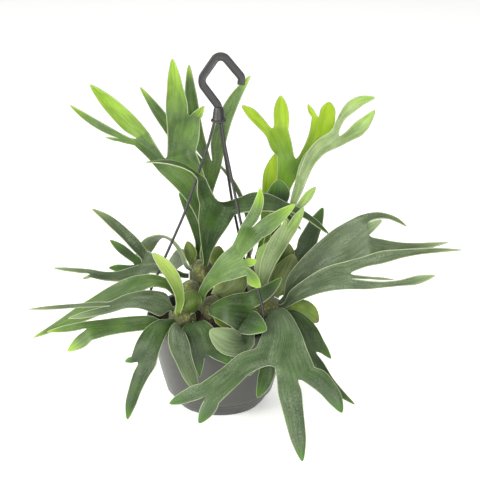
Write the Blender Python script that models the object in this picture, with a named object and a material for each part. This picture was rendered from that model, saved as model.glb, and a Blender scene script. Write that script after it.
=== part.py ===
"""Staghorn fern in a hanging pot, standing on its saucer.

Metres, +Z up.  The origin is the centre of the saucer's underside, +X is to the
right and -Y is towards the front, where the largest frond hangs over the rim.
Sizes below are in millimetres and are turned into metres as meshes are made.
"""
import bpy
import bmesh
import math
from mathutils import Matrix, Vector
from mathutils.bvhtree import BVHTree

MM = 0.001

# Saucer and pot
SAUCER_FOOT_R = 49.0
SAUCER_RIM_R = 60.0
SAUCER_H = 17.0
WALL = 2.0
GAP = 0.3
RIM_R = 85.0
RIM_TOP = 108.0
ROUND = 32

# The pot's wall: radius and height of its foot and of its top, and the steps between them
WALL_FOOT = (62.0, 17.3)
WALL_TOP = (76.5, 95.0)
WALL_STEPS = 5

# Peat mound that fills the pot: radius and height of its edge, height of its middle
MOUND_R = 72.0
MOUND_EDGE = 98.0
MOUND_TOP = 133.0
MOUND_STEPS = 6

# Hanger.  Its hook and its legs are lines with rounded corners: place, then bend radius.
# A leg's corners are (radius from the pot's axis, height, bend radius).
HOOK_DEPTH = 7.0
HOOK_WIDTH = 8.4
COLLAR_Z = 341.0
LEG_R = 1.6
BEND_STEP = math.radians(14)
HOOK_LINE = [(0, 346, 0), (0, 359, 12), (-21, 388, 12), (2, 421.5, 8.5), (26, 392, 6),
             (25, 384, 0)]
LEG_LINE = [(5, COLLAR_Z - GAP, 0), (12, 314, 40), (40, 233, 200), (81.5, 139, 40),
            (81.5, RIM_TOP + 3, 0)]
LEG_ANGLES = {"leg_left": 188.0, "leg_front": -52.0, "leg_back": 68.0}

# Fronds: thickness, spacing of the rows along a blade, width of its foot, clearance of the
# foot from its crown, the step it is lifted by, and the length of its straight neck
FROND_T = 1.6
ROW = 17.0
BASE_W = 6.0
FOOT_GAP = 0.5
FOOT_STEP = 0.1
NECK = 4.0

# Rhizome mounds that carry the fronds: centre, then half sizes.  Each is let into the peat.
PEAT_GAP = 0.35
CROWNS = {
    "crown_back": ((-20, 34, 142), (17, 17, 22)),
    "crown_left": ((-34, 0, 134), (14, 14, 16)),
    "crown_front_left": ((-42, -38, 118), (17, 15, 18)),
    "crown_centre": ((-7, -26, 122), (16, 16, 19)),
    "crown_right": ((56, -10, 116), (17, 18, 18)),
    "crown_back_right": ((50, 34, 132), (19, 21, 25)),
}

COLOURS = {
    "pot_grey": (0.050, 0.054, 0.058, 0.45),
    "peat": (0.035, 0.024, 0.016, 0.95),
    "rhizome": (0.16, 0.17, 0.09, 0.90),
    "leaf_deep": (0.040, 0.090, 0.030, 0.45),
    "leaf_green": (0.075, 0.170, 0.035, 0.45),
    "leaf_lime": (0.180, 0.360, 0.040, 0.45),
    "leaf_blue": (0.055, 0.100, 0.065, 0.45),
    "leaf_grey": (0.110, 0.150, 0.105, 0.55),
    "leaf_pale": (0.300, 0.370, 0.240, 0.60),
    "shield_green": (0.240, 0.340, 0.080, 0.60),
    "shield_papery": (0.340, 0.330, 0.170, 0.75),
}


def clear_scene():
    for item in list(bpy.data.objects):
        bpy.data.objects.remove(item, do_unlink=True)


def material(name):
    found = bpy.data.materials.get(name)
    if found:
        return found
    red, green, blue, rough = COLOURS[name]
    made = bpy.data.materials.new(name)
    made.use_nodes = True
    shader = made.node_tree.nodes["Principled BSDF"]
    shader.inputs["Base Color"].default_value = (red, green, blue, 1.0)
    shader.inputs["Roughness"].default_value = rough
    made.diffuse_color = (red, green, blue, 1.0)
    return made


def finish(name, bm, colour):
    """Turn a millimetre bmesh into a named object in metres."""
    bmesh.ops.scale(bm, vec=(MM, MM, MM), verts=bm.verts)
    mesh = bpy.data.meshes.new(name)
    bm.to_mesh(mesh)
    bm.free()
    item = bpy.data.objects.new(name, mesh)
    bpy.context.scene.collection.objects.link(item)
    mesh.materials.append(material(colour))
    return item


def turned(name, profile, colour):
    """A closed body turned around the pot's axis; profile runs (radius, height)."""
    bm = bmesh.new()
    points = [bm.verts.new((r, 0, z)) for r, z in profile]
    edges = [bm.edges.new(pair) for pair in zip(points, points[1:])]
    bmesh.ops.spin(bm, geom=points + edges, cent=(0, 0, 0), axis=(0, 0, 1),
                   angle=math.tau, steps=ROUND, use_merge=True)
    bmesh.ops.remove_doubles(bm, verts=bm.verts, dist=0.001)
    bmesh.ops.recalc_face_normals(bm, faces=bm.faces)
    return finish(name, bm, colour)


def make_saucer():
    rim, foot, top = SAUCER_RIM_R, SAUCER_FOOT_R, SAUCER_H
    profile = [(0, 0), (foot - 1, 0), (foot, 1), (rim - 3.6, 11), (rim, top - 1.2),
               (rim - 0.5, top), (rim - 1.3, top), (rim - 5.4, 10.5),
               (foot - 2.4, WALL), (0, WALL)]
    return turned("saucer", profile, "pot_grey")


def wall(inwards, low):
    """The pot's wall from height low up, a quarter wave, moved inwards by so much."""
    (foot_r, foot_z), (top_r, top_z) = WALL_FOOT, WALL_TOP
    line = []
    for i in range(WALL_STEPS + 1):
        z = low + (top_z - low) * i / WALL_STEPS
        rise = math.sin((z - foot_z) / (top_z - foot_z) * math.pi / 2)
        line.append((foot_r + (top_r - foot_r) * rise - inwards, z))
    return line


def make_pot():
    top, foot = RIM_TOP, WALL_FOOT[1]
    outside = [(0, 2.3), (45.5, 2.3), (57.5, foot)] + wall(0, foot)
    flange = [(83.2, 97), (84.6, 99), (RIM_R, top - 2), (83.6, top), (79.6, top),
              (78.2, top - 2)]
    inside = wall(2.2, 19.6)[::-1] + [(54.8, 17.6), (43.6, 4.3), (0, 4.3)]
    return turned("pot", outside + flange + inside, "pot_grey")


def make_root_ball():
    """Peat filling the pot and mounding above its rim, cut to fit the crowns."""
    profile = [(0, 4.7), (43, 4.7), (54.4, 18.1)] + wall(2.8, 20.2)
    for i in range(MOUND_STEPS + 1):
        rise = math.sin(math.pi / 2 * i / MOUND_STEPS)
        out = MOUND_R * (1 - i / MOUND_STEPS)
        profile.append((out, MOUND_EDGE + (MOUND_TOP - MOUND_EDGE) * rise))
    ball = turned("root_ball", profile, "peat")
    for name in CROWNS:
        cutter = crown_body("cut_" + name, CROWNS[name], PEAT_GAP, "peat")
        cutter.hide_render = True
        cutter.display_type = "WIRE"
        cut = ball.modifiers.new("fit_" + name, "BOOLEAN")
        cut.operation = "DIFFERENCE"
        cut.solver = "EXACT"
        cut.object = cutter
    return ball


def crown_form(crown, extra):
    centre, half = crown
    bm = bmesh.new()
    bmesh.ops.create_icosphere(bm, subdivisions=2, radius=1.0)
    full = [value + extra for value in half]
    bmesh.ops.scale(bm, vec=full, verts=bm.verts)
    bmesh.ops.translate(bm, vec=centre, verts=bm.verts)
    return bm


def crown_body(name, crown, extra, colour):
    return finish(name, crown_form(crown, extra), colour)


def seat_on(crown_name, away, face, width):
    """Middle of a blade's foot, lifted until the whole foot clears the crown."""
    centre = Vector(CROWNS[crown_name][0])
    form = crown_form(CROWNS[crown_name], 0.0)
    skin = BVHTree.FromBMesh(form)
    form.free()
    across = face.cross(away).normalized() * width / 2
    through = across.cross(away).normalized() * FROND_T * 0.6
    foot = skin.ray_cast(centre + away * 60, -away)[0]
    edge = [across * s + through * t for s in (-1, -0.5, 0, 0.5, 1) for t in (-1, 1)]
    for _ in range(60):
        clear = []
        for offset in edge:
            spot, normal, _, _ = skin.find_nearest(foot + offset)
            clear.append((foot + offset - spot).dot(normal))
        if min(clear) >= FOOT_GAP:
            break
        foot += away * FOOT_STEP
    return foot


def rounded(corners):
    """A flat line through the corners, each rounded by its own bend radius."""
    places = [Vector(corner[:2]) for corner in corners]
    line = [places[0]]
    for i in range(1, len(corners) - 1):
        back = (places[i - 1] - places[i]).normalized()
        ahead = (places[i + 1] - places[i]).normalized()
        half, radius = back.angle(ahead) / 2, corners[i][2]
        middle = places[i] + (back + ahead).normalized() * radius / math.sin(half)
        spoke = places[i] + back * radius / math.tan(half) - middle
        turn = (math.pi - half * 2) * (1 if ahead.cross(back) > 0 else -1)
        steps = math.ceil(abs(turn) / BEND_STEP)
        for k in range(steps + 1):
            line.append(middle + Matrix.Rotation(turn * k / steps, 2) @ spoke)
    return line + [places[-1]]


def make_hook():
    """A flat rounded-diamond hook, open on its right, on a bell-shaped collar."""
    path = rounded(HOOK_LINE)
    bm = bmesh.new()
    rings = []
    for i, (x, z) in enumerate(path):
        along = (path[min(i + 1, len(path) - 1)] - path[max(i - 1, 0)]).normalized()
        side = Vector((-along.y, along.x)) * HOOK_WIDTH / 2
        ring = []
        for sx, sy in ((1, 1), (1, -1), (-1, -1), (-1, 1)):
            ring.append(bm.verts.new((x + side.x * sx, sy * HOOK_DEPTH / 2, z + side.y * sx)))
        rings.append(ring)
    for a, b in zip(rings, rings[1:]):
        for j in range(4):
            bm.faces.new((a[j], a[(j + 1) % 4], b[(j + 1) % 4], b[j]))
    bm.faces.new(rings[0][::-1])
    bm.faces.new(rings[-1])
    bmesh.ops.recalc_face_normals(bm, faces=bm.faces)
    hook = finish("hook", bm, "pot_grey")

    collar = bmesh.new()
    profile = [(0, COLLAR_Z), (8.6, COLLAR_Z), (8.8, COLLAR_Z + 2.2), (7.2, COLLAR_Z + 3.4),
               (6.2, COLLAR_Z + 11), (4.6, COLLAR_Z + 17), (0, COLLAR_Z + 17)]
    points = [collar.verts.new((r, 0, z)) for r, z in profile]
    edges = [collar.edges.new(pair) for pair in zip(points, points[1:])]
    bmesh.ops.spin(collar, geom=points + edges, cent=(0, 0, 0), axis=(0, 0, 1),
                   angle=math.tau, steps=16, use_merge=True)
    bmesh.ops.remove_doubles(collar, verts=collar.verts, dist=0.001)
    bmesh.ops.recalc_face_normals(collar, faces=collar.faces)
    bell = finish("hook_collar_form", collar, "pot_grey")
    bell.hide_render = True
    bell.display_type = "WIRE"
    join = hook.modifiers.new("collar", "BOOLEAN")
    join.operation = "UNION"
    join.solver = "EXACT"
    join.object = bell
    return hook


def make_leg(name, angle):
    """A thin moulded strut from the collar down to a clip on the pot's rim."""
    path = rounded(LEG_LINE)
    turn = Matrix.Rotation(math.radians(angle), 4, "Z")
    bm = bmesh.new()
    rings = []
    for i, (r, z) in enumerate(path):
        along = (path[min(i + 1, len(path) - 1)] - path[max(i - 1, 0)]).normalized()
        if i == 0:
            along = Vector((0, -1))
        ring = []
        for k in range(6):
            a = math.tau * k / 6
            out = LEG_R * math.cos(a)
            ring.append(bm.verts.new((r - along.y * out, LEG_R * math.sin(a), z + along.x * out)))
        rings.append(ring)
    for a, b in zip(rings, rings[1:]):
        for j in range(6):
            bm.faces.new((a[j], a[(j + 1) % 6], b[(j + 1) % 6], b[j]))
    bm.faces.new(rings[0])
    bm.faces.new(rings[-1])
    bmesh.ops.recalc_face_normals(bm, faces=bm.faces)
    bmesh.ops.transform(bm, matrix=turn, verts=bm.verts)
    leg = finish(name, bm, "pot_grey")

    foot = bmesh.new()
    bmesh.ops.create_cube(foot, size=1.0)
    bmesh.ops.scale(foot, vec=(4.4, 7.0, 5.0), verts=foot.verts)
    bmesh.ops.translate(foot, vec=(81.6, 0, RIM_TOP + GAP + 2.5), verts=foot.verts)
    bmesh.ops.transform(foot, matrix=turn, verts=foot.verts)
    clip = finish(name + "_clip_form", foot, "pot_grey")
    clip.hide_render = True
    clip.display_type = "WIRE"
    join = leg.modifiers.new("clip", "BOOLEAN")
    join.operation = "UNION"
    join.solver = "EXACT"
    join.object = clip
    return leg


def lobe(reach, widths, lobes=(), bow=(0, 0, 0), web=0.1, face=None, cup=None):
    """One stretch of blade.

    reach:  how far its end lies to the right, to the front and up from its start, in mm.
    widths: how wide it is at even steps along the way, in mm; a last width of 0 is a tip.
    lobes:  what it forks into, from left to right with the upper side towards you.
    bow:    how far its middle swings right, front and up out of the straight line.
    web:    how far the blade runs on past the fork, as a share of its width there.
    """
    return {"reach": reach, "widths": widths, "lobes": list(lobes), "bow": bow, "web": web,
            "face": face, "cup": cup}


def in_space(right_front_up):
    right, front, up = right_front_up
    return Vector((right, -front, up))


def tips(blade):
    return sum(tips(part) for part in blade["lobes"]) if blade["lobes"] else 1


def lay_out(blade, start, face, cup):
    """Work out the stations along a stretch, then set its lobes out across its end."""
    face = Vector(blade["face"] or face).normalized()
    cup = cup if blade["cup"] is None else blade["cup"]
    reach, bow, steps = in_space(blade["reach"]), in_space(blade["bow"]), len(blade["widths"])
    blade["stations"], blade["notches"] = [], []
    for i, width in enumerate(blade["widths"], 1):
        t = i / steps
        blade["stations"].append((start + reach * t + bow * 4 * t * (1 - t), width))
    blade["face"], blade["cup"] = face, cup
    if not blade["lobes"]:
        return
    end, width = blade["stations"][-1]
    ahead = (reach - bow * 4).normalized()
    across = face.cross(ahead).normalized() * width
    total, done = sum(part["widths"][0] for part in blade["lobes"]), 0.0
    for part in blade["lobes"]:
        share = part["widths"][0] / total
        lay_out(part, end + across * (0.5 - done - share / 2), face, cup)
        done += share
        blade["notches"].append(end + across * (0.5 - done) + ahead * blade["web"] * width)
    blade["notches"].pop()


def margins(blade, start):
    """Left and right margin points beside each station."""
    left, right = [], []
    centres = [spot for spot, _ in blade["stations"]]
    for i, centre in enumerate(centres):
        before = centres[i - 1] if i else start
        after = centres[i + 1] if i + 1 < len(centres) else centre
        across = blade["face"].cross(after - before).normalized()
        half = blade["stations"][i][1] / 2
        left.append(centre + across * half)
        right.append(centre - across * half)
    return left, right


def slope(a, b, c):
    back = max((b - a).length, 1e-6)
    ahead = max((c - b).length, 1e-6)
    return ((b - a) / back * ahead + (c - b) / ahead * back) / (back + ahead)


def glide(points, i, t):
    """Smooth curve through the points, between point i and point i + 1."""
    a, b, c, d = points[i - 1:i + 3]
    span = (c - b).length
    lead, trail = slope(a, b, c) * span, slope(b, c, d) * span
    return ((2 * t**3 - 3 * t**2 + 1) * b + (t**3 - 2 * t**2 + t) * lead
            + (3 * t**2 - 2 * t**3) * c + (t**3 - t**2) * trail)


def part_row(blade, left, right, columns_per_tip):
    """Spread the last row of a stretch through its notches, left to right."""
    marks = [left] + blade["notches"] + [right]
    row, shares = [], []
    for i, part in enumerate(blade["lobes"]):
        count = tips(part) * columns_per_tip
        shares.append(count)
        row += [marks[i].lerp(marks[i + 1], j / count) for j in range(count)]
    return marks, row + [right], shares


def grow(bm, blade, row, left0, right0, left_lead, right_lead, columns_per_tip):
    """Extend a row of vertices along a stretch of blade, then into its lobes."""
    columns = len(row) - 1
    middle = (left0 + right0) / 2
    left, right = margins(blade, middle)
    left = [left_lead, left0] + left
    right = [right_lead, right0] + right
    parts = blade["lobes"]
    if parts:
        marks, parted, shares = part_row(blade, left[-1], right[-1], columns_per_tip)
        left.append(left[-1] * 2 - left[-2])
        right.append(right[-1] * 2 - right[-2])
    else:
        left, right = left + [right[-2]], right + [left[-2]]
    last = len(left) - 3
    for i in range(1, last + 1):
        run = ((left[i + 1] - left[i]).length + (right[i + 1] - right[i]).length) / 2
        rows = max(1, round(run / ROW))
        at_tip = i == last and not parts
        rows = max(rows, 2) if at_tip else rows
        for r in range(1, rows + 1):
            t = r / rows
            edge_l, edge_r = glide(left, i, t), glide(right, i, t)
            if at_tip and r == rows:
                end = bm.verts.new((edge_l + edge_r) / 2)
                for a, b in zip(row, row[1:]):
                    bm.faces.new((a, b, end))
                break
            centre = (edge_l + edge_r) / 2
            normal = (edge_r - edge_l).cross(centre - middle).normalized()
            if normal.dot(blade["face"]) < 0:
                normal.negate()
            middle = centre
            done = (i - 1 + t) / last
            depth = blade["cup"] * (edge_r - edge_l).length * min(1, 4 * done)
            if parts:
                depth *= min(1, 4 * (1 - done))
            new = []
            for j in range(columns + 1):
                u = j / columns
                spot = edge_l.lerp(edge_r, u) - normal * depth * 4 * u * (1 - u)
                if parts and i == last:
                    spot += (parted[j] - left[-2].lerp(right[-2], u)) * (t * t * (3 - 2 * t))
                new.append(bm.verts.new(spot))
            for j in range(columns):
                bm.faces.new((row[j], row[j + 1], new[j + 1], new[j]))
            row = new
    starts = [margins(part, (marks[i] + marks[i + 1]) / 2) for i, part in enumerate(parts)]
    first = 0
    for i, part in enumerate(parts):
        lead_l = left[-3] if i == 0 else starts[i - 1][1][0]
        lead_r = right[-3] if i == len(parts) - 1 else starts[i + 1][0][0]
        grow(bm, part, row[first:first + shares[i] + 1], marks[i], marks[i + 1],
             lead_l, lead_r, columns_per_tip)
        first += shares[i]


def frond(name, crown, colour, spring, face, cup, blade, foot_width=BASE_W):
    """A blade that springs from a crown, towards its right, front and top, and stands clear of it."""
    face, away = Vector(face).normalized(), in_space(spring).normalized()
    base = seat_on(crown, away, face, foot_width)
    lay_out(blade, base, face, cup)
    blade["stations"].insert(0, (base + away * NECK, foot_width))
    lead = base - blade["stations"][0][0]
    across = face.cross(-lead).normalized() * foot_width / 2
    left, right = base + across, base - across
    count = tips(blade)
    per_tip = 2 if count == 1 else 1
    columns = count * per_tip
    bm = bmesh.new()
    row = [bm.verts.new(left.lerp(right, j / columns)) for j in range(columns + 1)]
    grow(bm, blade, row, left, right, left + lead, right + lead, per_tip)
    item = finish(name, bm, colour)
    solid = item.modifiers.new("thickness", "SOLIDIFY")
    solid.thickness = FROND_T * MM
    solid.offset = 0.0
    return item


def fronds_of_back_crown():
    frond("frond_tall_left", "crown_back", "leaf_green",
          (0, 0, 1), (0.05, -0.95, 0.15), 0.10,
          lobe((-27, 9, 121), (8, 14, 24, 36, 48), bow=(13, 0, 0), web=0.25, lobes=[
              lobe((-26, 12, 40), (16, 22), web=0.25, lobes=[
                  lobe((-18, 2, 8), (8, 10), lobes=[
                      lobe((-17, 0, 4), (4, 3, 0)),
                      lobe((-56, 8, 39), (9, 9, 7, 0), bow=(0, 0, -3))]),
                  lobe((-59, 12, 66), (20, 19, 14, 0))]),
              lobe((0, -5, 45), (36, 38), lobes=[
                  lobe((-6, -10, 69), (25, 19, 13, 0)),
                  lobe((11, 0, 16), (11, 7, 0))])]))
    frond("frond_centre_dark", "crown_back", "leaf_deep",
          (1, 3, 5), (0.0, -0.95, 0.25), 0.10,
          lobe((14, 22, 76), (12, 22, 34, 42), bow=(-2, 0, 0), web=0.3, lobes=[
              lobe((-6, 14, 38), (17, 10), lobes=[
                  lobe((-62, 20, 26), (11, 12, 10, 6, 0), bow=(4, 0, 8), face=(0, -0.2, 1), cup=0.05)]),
              lobe((68, -10, 3), (20, 26, 23, 16), bow=(0, 0, 10), face=(0.1, -0.7, 0.8), lobes=[
                  lobe((51, 7, -33), (10, 8, 7, 0), bow=(0, 0, 4)),
                  lobe((21, 0, -23), (7, 5, 0))])]))
    frond("frond_back_dark", "crown_back", "leaf_deep",
          (-3, -6, 10), (0.1, -0.97, 0.1), 0.05,
          lobe((-22, 5, 85), (8, 12, 12, 0), bow=(8, 0, 0)))
    frond("frond_back_trident", "crown_back", "leaf_green",
          (0.5, -6, 10), (0.0, -0.97, 0.2), 0.10,
          lobe((6, -8, 107), (6, 8, 14, 28), web=0.4, lobes=[
              lobe((-69, -18, 95), (15, 14, 11, 0), bow=(-1, 0, 1)),
              lobe((-21, -14, 123), (15, 15, 13, 0), bow=(-5, 0, 0)),
              lobe((40, -12, 111), (17, 17, 13, 0), bow=(-10, 0, 3))]))
    frond("frond_back_arch", "crown_back", "leaf_grey",
          (-10, 5, 8), (0.0, 0.6, 0.8), 0.05,
          lobe((-65, -27, -6), (7, 9, 12, 19, 20, 0), bow=(-2, 5, 42)))
    frond("frond_back_left", "crown_back", "leaf_deep",
          (-10, 2, 1), (0.0, -0.85, 0.5), 0.06,
          lobe((-62, -5, 13), (8, 10, 15, 19), lobes=[
              lobe((-31, 3, 2), (8, 9, 0)),
              lobe((-32, -6, 24), (11, 10, 0))]))
    frond("frond_back_low_left", "crown_back", "leaf_green",
          (-5, -10, 0), (0.0, 0.7, 0.7), 0.06,
          lobe((-12, -45, 8), (8, 14, 24, 30), bow=(0, 0, 12), lobes=[
              lobe((-12, -30, -38), (18, 20, 12, 0)),
              lobe((8, -32, -45), (18, 20, 12, 0))]))
    frond("frond_back_low_mid", "crown_back", "leaf_blue",
          (5, -10, -1), (0.0, 0.7, 0.7), 0.06,
          lobe((12, -42, 2), (8, 16, 26), bow=(0, 0, 14), lobes=[
              lobe((-14, -30, -42), (16, 18, 12, 0)),
              lobe((10, -28, -50), (16, 18, 12, 0))]))


def fronds_of_back_right_crown():
    frond("frond_right_bright", "crown_back_right", "leaf_lime",
          (-1, -6, 10), (0.05, -0.97, 0.15), 0.10,
          lobe((36, -13, 124), (7, 11, 15, 20, 35), lobes=[
              lobe((-10, 0, 31), (25, 27), web=0.3, lobes=[
                  lobe((-34, 6, 38), (12, 11, 0), bow=(-2, 0, 5)),
                  lobe((-2, -4, 43), (18, 18, 14, 0))]),
              lobe((26, -3, 49), (15, 20, 29), bow=(2, 0, 0), web=0.12, lobes=[
                  lobe((-8, 0, 18), (7, 0)),
                  lobe((3, -2, 25), (19, 17, 0))])]))
    frond("frond_back_short", "crown_back_right", "leaf_lime",
          (-3, -9, 9), (-0.1, -0.97, 0.2), 0.08,
          lobe((22, -20, 135), (7, 9, 14, 19, 22, 0)))
    frond("frond_right_pale", "crown_back_right", "leaf_pale",
          (2, 4, 10), (-0.45, -0.85, 0.3), 0.22,
          lobe((30, 2, 73), (7, 8, 9, 11), lobes=[
              lobe((12, -3, 36), (11, 14), lobes=[
                  lobe((34, -11, 34), (4, 5, 4, 0), bow=(-5, 0, 10)),
                  lobe((37, 3, 50), (15, 18, 21), bow=(-5, 0, 7), web=0.25, lobes=[
                      lobe((46, 4, 44), (9, 14, 11, 0), bow=(-5, 0, 10)),
                      lobe((42, 6, 40), (12, 17, 12, 0), bow=(3, 0, -3))])]),
              lobe((24, 4, 32), (9, 10, 0))]))
    frond("frond_right_dark", "crown_back_right", "leaf_blue",
          (10, -1, 3), (0.0, -0.9, 0.4), 0.08,
          lobe((25, -4, 30), (8, 13, 26), bow=(2, 0, -3), lobes=[
              lobe((-12, -2, 4), (8, 6, 0)),
              lobe((25, -8, 57), (22, 19, 14, 0))]))
    frond("frond_back_crest", "crown_back_right", "leaf_deep",
          (3, -4, 10), (0.0, -0.95, 0.3), -0.08,
          lobe((12, 11, 109), (7, 8, 10, 14, 20, 26, 0), bow=(4, 0, 0)))
    frond("frond_back_thin", "crown_back_right", "leaf_grey",
          (-10, -7, 8), (-0.5, -0.8, 0.2), 0.0,
          lobe((-42, -22, 133), (6, 6, 6, 5, 0), bow=(16, 0, 8)))
    frond("frond_back_low_right", "crown_back_right", "leaf_green",
          (-2, -10, -1), (0.0, 0.7, 0.7), 0.06,
          lobe((0, -45, 0), (8, 15, 25, 30), bow=(0, 0, 14), lobes=[
              lobe((-16, -28, -44), (18, 20, 12, 0)),
              lobe((8, -30, -50), (18, 20, 12, 0))]))


def fronds_of_left_crown():
    frond("frond_left_grey", "crown_left", "leaf_grey",
          (-10, -3, 8), (0.1, -0.8, 0.6), 0.08,
          lobe((-41, -12, 22), (10, 15, 22, 32), bow=(0, 0, 8), web=0.15, lobes=[
              lobe((-62, 13, 0), (17, 13, 11, 10), bow=(0, 0, -6), lobes=[
                  lobe((-10, 2, -3), (4, 3, 0)),
                  lobe((-44, 8, 8), (6, 5, 4, 0))]),
              lobe((-60, 10, 62), (14, 13, 12, 8, 0), bow=(0, 0, 6))]))
    frond("frond_left_band", "crown_left", "leaf_green",
          (-9, 8, 2), (0.0, -0.65, 0.75), 0.08,
          lobe((-49, 14, 18), (13, 17, 23), bow=(0, 6, 12), lobes=[
              lobe((-120, 18, -59), (29, 25, 19, 10, 0), bow=(0, 0, -1))]))


def fronds_of_front_left_crown():
    frond("frond_young_curl", "crown_front_left", "leaf_lime",
          (-3, 10, 8), (0.2, -0.95, 0.2), 0.10,
          lobe((-28, 12, 79), (9, 11, 14, 15, 13, 0), bow=(12, 5, 3)))
    frond("frond_left_front", "crown_front_left", "leaf_grey",
          (-8, 5, 10), (0.1, -0.85, 0.55), -0.08,
          lobe((-67, 18, 12), (27, 26, 22, 18, 15, 13), bow=(0, 0, 10), lobes=[
              lobe((-51, 10, -8), (9, 8, 6, 0)),
              lobe((-94, 13, -2), (6, 5, 5, 4, 0))]))
    frond("frond_left_low", "crown_front_left", "leaf_green",
          (-10, 3, -2), (0.0, -0.8, 0.6), 0.06,
          lobe((-88, 27, 1), (15, 18, 19, 20, 23), bow=(0, 0, 3), lobes=[
              lobe((-27, 0, -21), (16, 12, 0)),
              lobe((-46, 9, -5), (9, 7, 0))]))
    frond("frond_left_drop", "crown_front_left", "leaf_deep",
          (-7, 10, 2), (-0.25, -0.85, 0.45), -0.12,
          lobe((-33, 38, -33), (17, 25, 29, 31), bow=(-4, 3, 10), lobes=[
              lobe((-23, 17, -64), (18, 15, 12, 0), bow=(-3, 0, 0)),
              lobe((-11, 0, -4), (7, 0))]))
    frond("frond_front_left_grey", "crown_front_left", "leaf_grey",
          (-0.5, 10, -2), (0.15, -0.85, 0.5), -0.08,
          lobe((20, 56, -60), (9, 16, 21, 23, 19, 16, 0), bow=(-12, 17, 30)))
    frond("frond_front_green", "crown_front_left", "leaf_deep",
          (8, 10, -1), (0.1, -0.85, 0.5), -0.05,
          lobe((20, 40, -15), (25, 34, 40), bow=(-4, 5, 13), web=0.1, lobes=[
              lobe((21, 10, -18), (20, 12, 0)),
              lobe((2, 8, -24), (12, 7, 0))]), foot_width=7)


def fronds_of_centre_crown():
    frond("frond_centre_front", "crown_centre", "leaf_green",
          (-10, 3, 4), (-0.15, -0.9, 0.45), -0.10,
          lobe((45, 31, 70), (9, 10, 13, 19, 30, 38), bow=(-13, 0, 1), web=0.14, lobes=[
              lobe((17, -10, 22), (28,), lobes=[
                  lobe((16, 3, 48), (13, 12, 9, 0), bow=(5, 0, 0)),
                  lobe((44, -3, 35), (19, 16, 11, 0))]),
              lobe((17, 1, 5), (10, 0)),
              lobe((18, 7, -16), (14, 0))]))
    frond("frond_centre_gloss", "crown_centre", "leaf_deep",
          (-2, 10, 4), (0.1, -0.75, 0.65), -0.10,
          lobe((37, 16, 5), (22, 32, 41, 50), bow=(0, 6, 6), web=0.2, lobes=[
              lobe((41, -13, 22), (20, 17, 12, 0), bow=(0, 0, -6)),
              lobe((29, 23, -3), (34, 28, 18, 0))]))


def fronds_of_right_crown():
    frond("frond_front_big", "crown_right", "leaf_blue",
          (1.5, 10, 3.5), (0.0, -0.8, 0.6), -0.10,
          lobe((12, 63, -18), (22, 29, 35, 45, 56), bow=(4, 0, 10), web=0.42, lobes=[
              lobe((5, 22, -20), (44,), web=0.2, lobes=[
                  lobe((40, 18, -43), (23, 20, 16, 0), bow=(4, 0, 4)),
                  lobe((17, 55, -80), (26, 23, 20, 15, 0))]),
              lobe((-62, 43, -37), (25, 26, 30), web=0.2, lobes=[
                  lobe((-17, 9, -26), (17, 16, 11, 0)),
                  lobe((-40, 6, -16), (17, 15, 11, 0))])]))
    frond("frond_front_grey", "crown_right", "leaf_grey",
          (-7, 9, 3), (0.0, -0.85, 0.5), -0.08,
          lobe((-14, 60, -14), (9, 13, 18), bow=(-2, 0, 10), lobes=[
              lobe((-41, 11, 21), (26, 30, 30, 22, 0), bow=(2, 6, -4))]))
    frond("frond_front_narrow", "crown_right", "leaf_deep",
          (0, 10, -1), (0.0, -0.8, 0.6), -0.08,
          lobe((-2, 65, -26), (8, 12, 16, 20), bow=(7, 0, 13), lobes=[
              lobe((-13, 10, -39), (18, 17, 12, 0), bow=(2, 0, 0)),
              lobe((-13, 4, -18), (6, 0))]))
    frond("frond_right_drop", "crown_right", "leaf_deep",
          (10, 5, 1), (0.15, -0.85, 0.5), -0.06,
          lobe((35, 36, -29), (15, 23, 29, 32), bow=(2, 0, 10), web=0.2, lobes=[
              lobe((13, 3, -16), (11, 7, 0)),
              lobe((55, 23, -59), (17, 12, 8, 0), bow=(-2, 0, -6))]))
    frond("frond_right_upper", "crown_right", "leaf_grey",
          (9, 1, 7), (-0.1, -0.8, 0.6), 0.12,
          lobe((93, 35, 94), (25, 34, 41, 47, 50), bow=(-3, 0, 9), web=0.14, lobes=[
              lobe((55, -12, -11), (10, 8, 6, 5, 0), bow=(0, 0, 10)),
              lobe((22, 0, 14), (11, 0)),
              lobe((90, 11, 10), (20, 13, 9, 6, 0), bow=(0, 0, -3))]))
    frond("frond_right_lower", "crown_right", "leaf_grey",
          (10, 5, 5), (-0.1, -0.93, 0.3), 0.10,
          lobe((75, 50, 59), (15, 20, 25, 29, 32), bow=(0, 0, 8), lobes=[
              lobe((127, 8, 24), (12, 14, 10, 7, 5, 0), bow=(-5, 0, 6)),
              lobe((52, 0, -4), (4, 3, 3, 0)),
              lobe((94, 12, 15), (10, 7, 7, 10, 0), bow=(0, 0, -5))]))
    frond("frond_right_small", "crown_right", "leaf_lime",
          (10, -3, 5), (0.0, -0.7, 0.7), 0.05,
          lobe((42, 3, 15), (7, 8, 8, 0), bow=(0, 0, 4)))
    frond("frond_pale_upright", "crown_right", "leaf_pale",
          (-3, 1, 10), (-0.55, -0.8, 0.3), 0.20,
          lobe((28, -10, 79), (12, 17, 21, 23, 20), bow=(-9, 0, 0), lobes=[
              lobe((3, 0, 8), (6, 4, 0)),
              lobe((16, -3, 28), (13, 10, 0))]))
    frond("frond_pale_left", "crown_right", "leaf_pale",
          (-6, -2, 10), (-0.3, -0.9, 0.3), 0.10,
          lobe((13, -23, 60), (6, 8, 9, 12, 16, 0), bow=(-9, 0, 0)))


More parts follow.
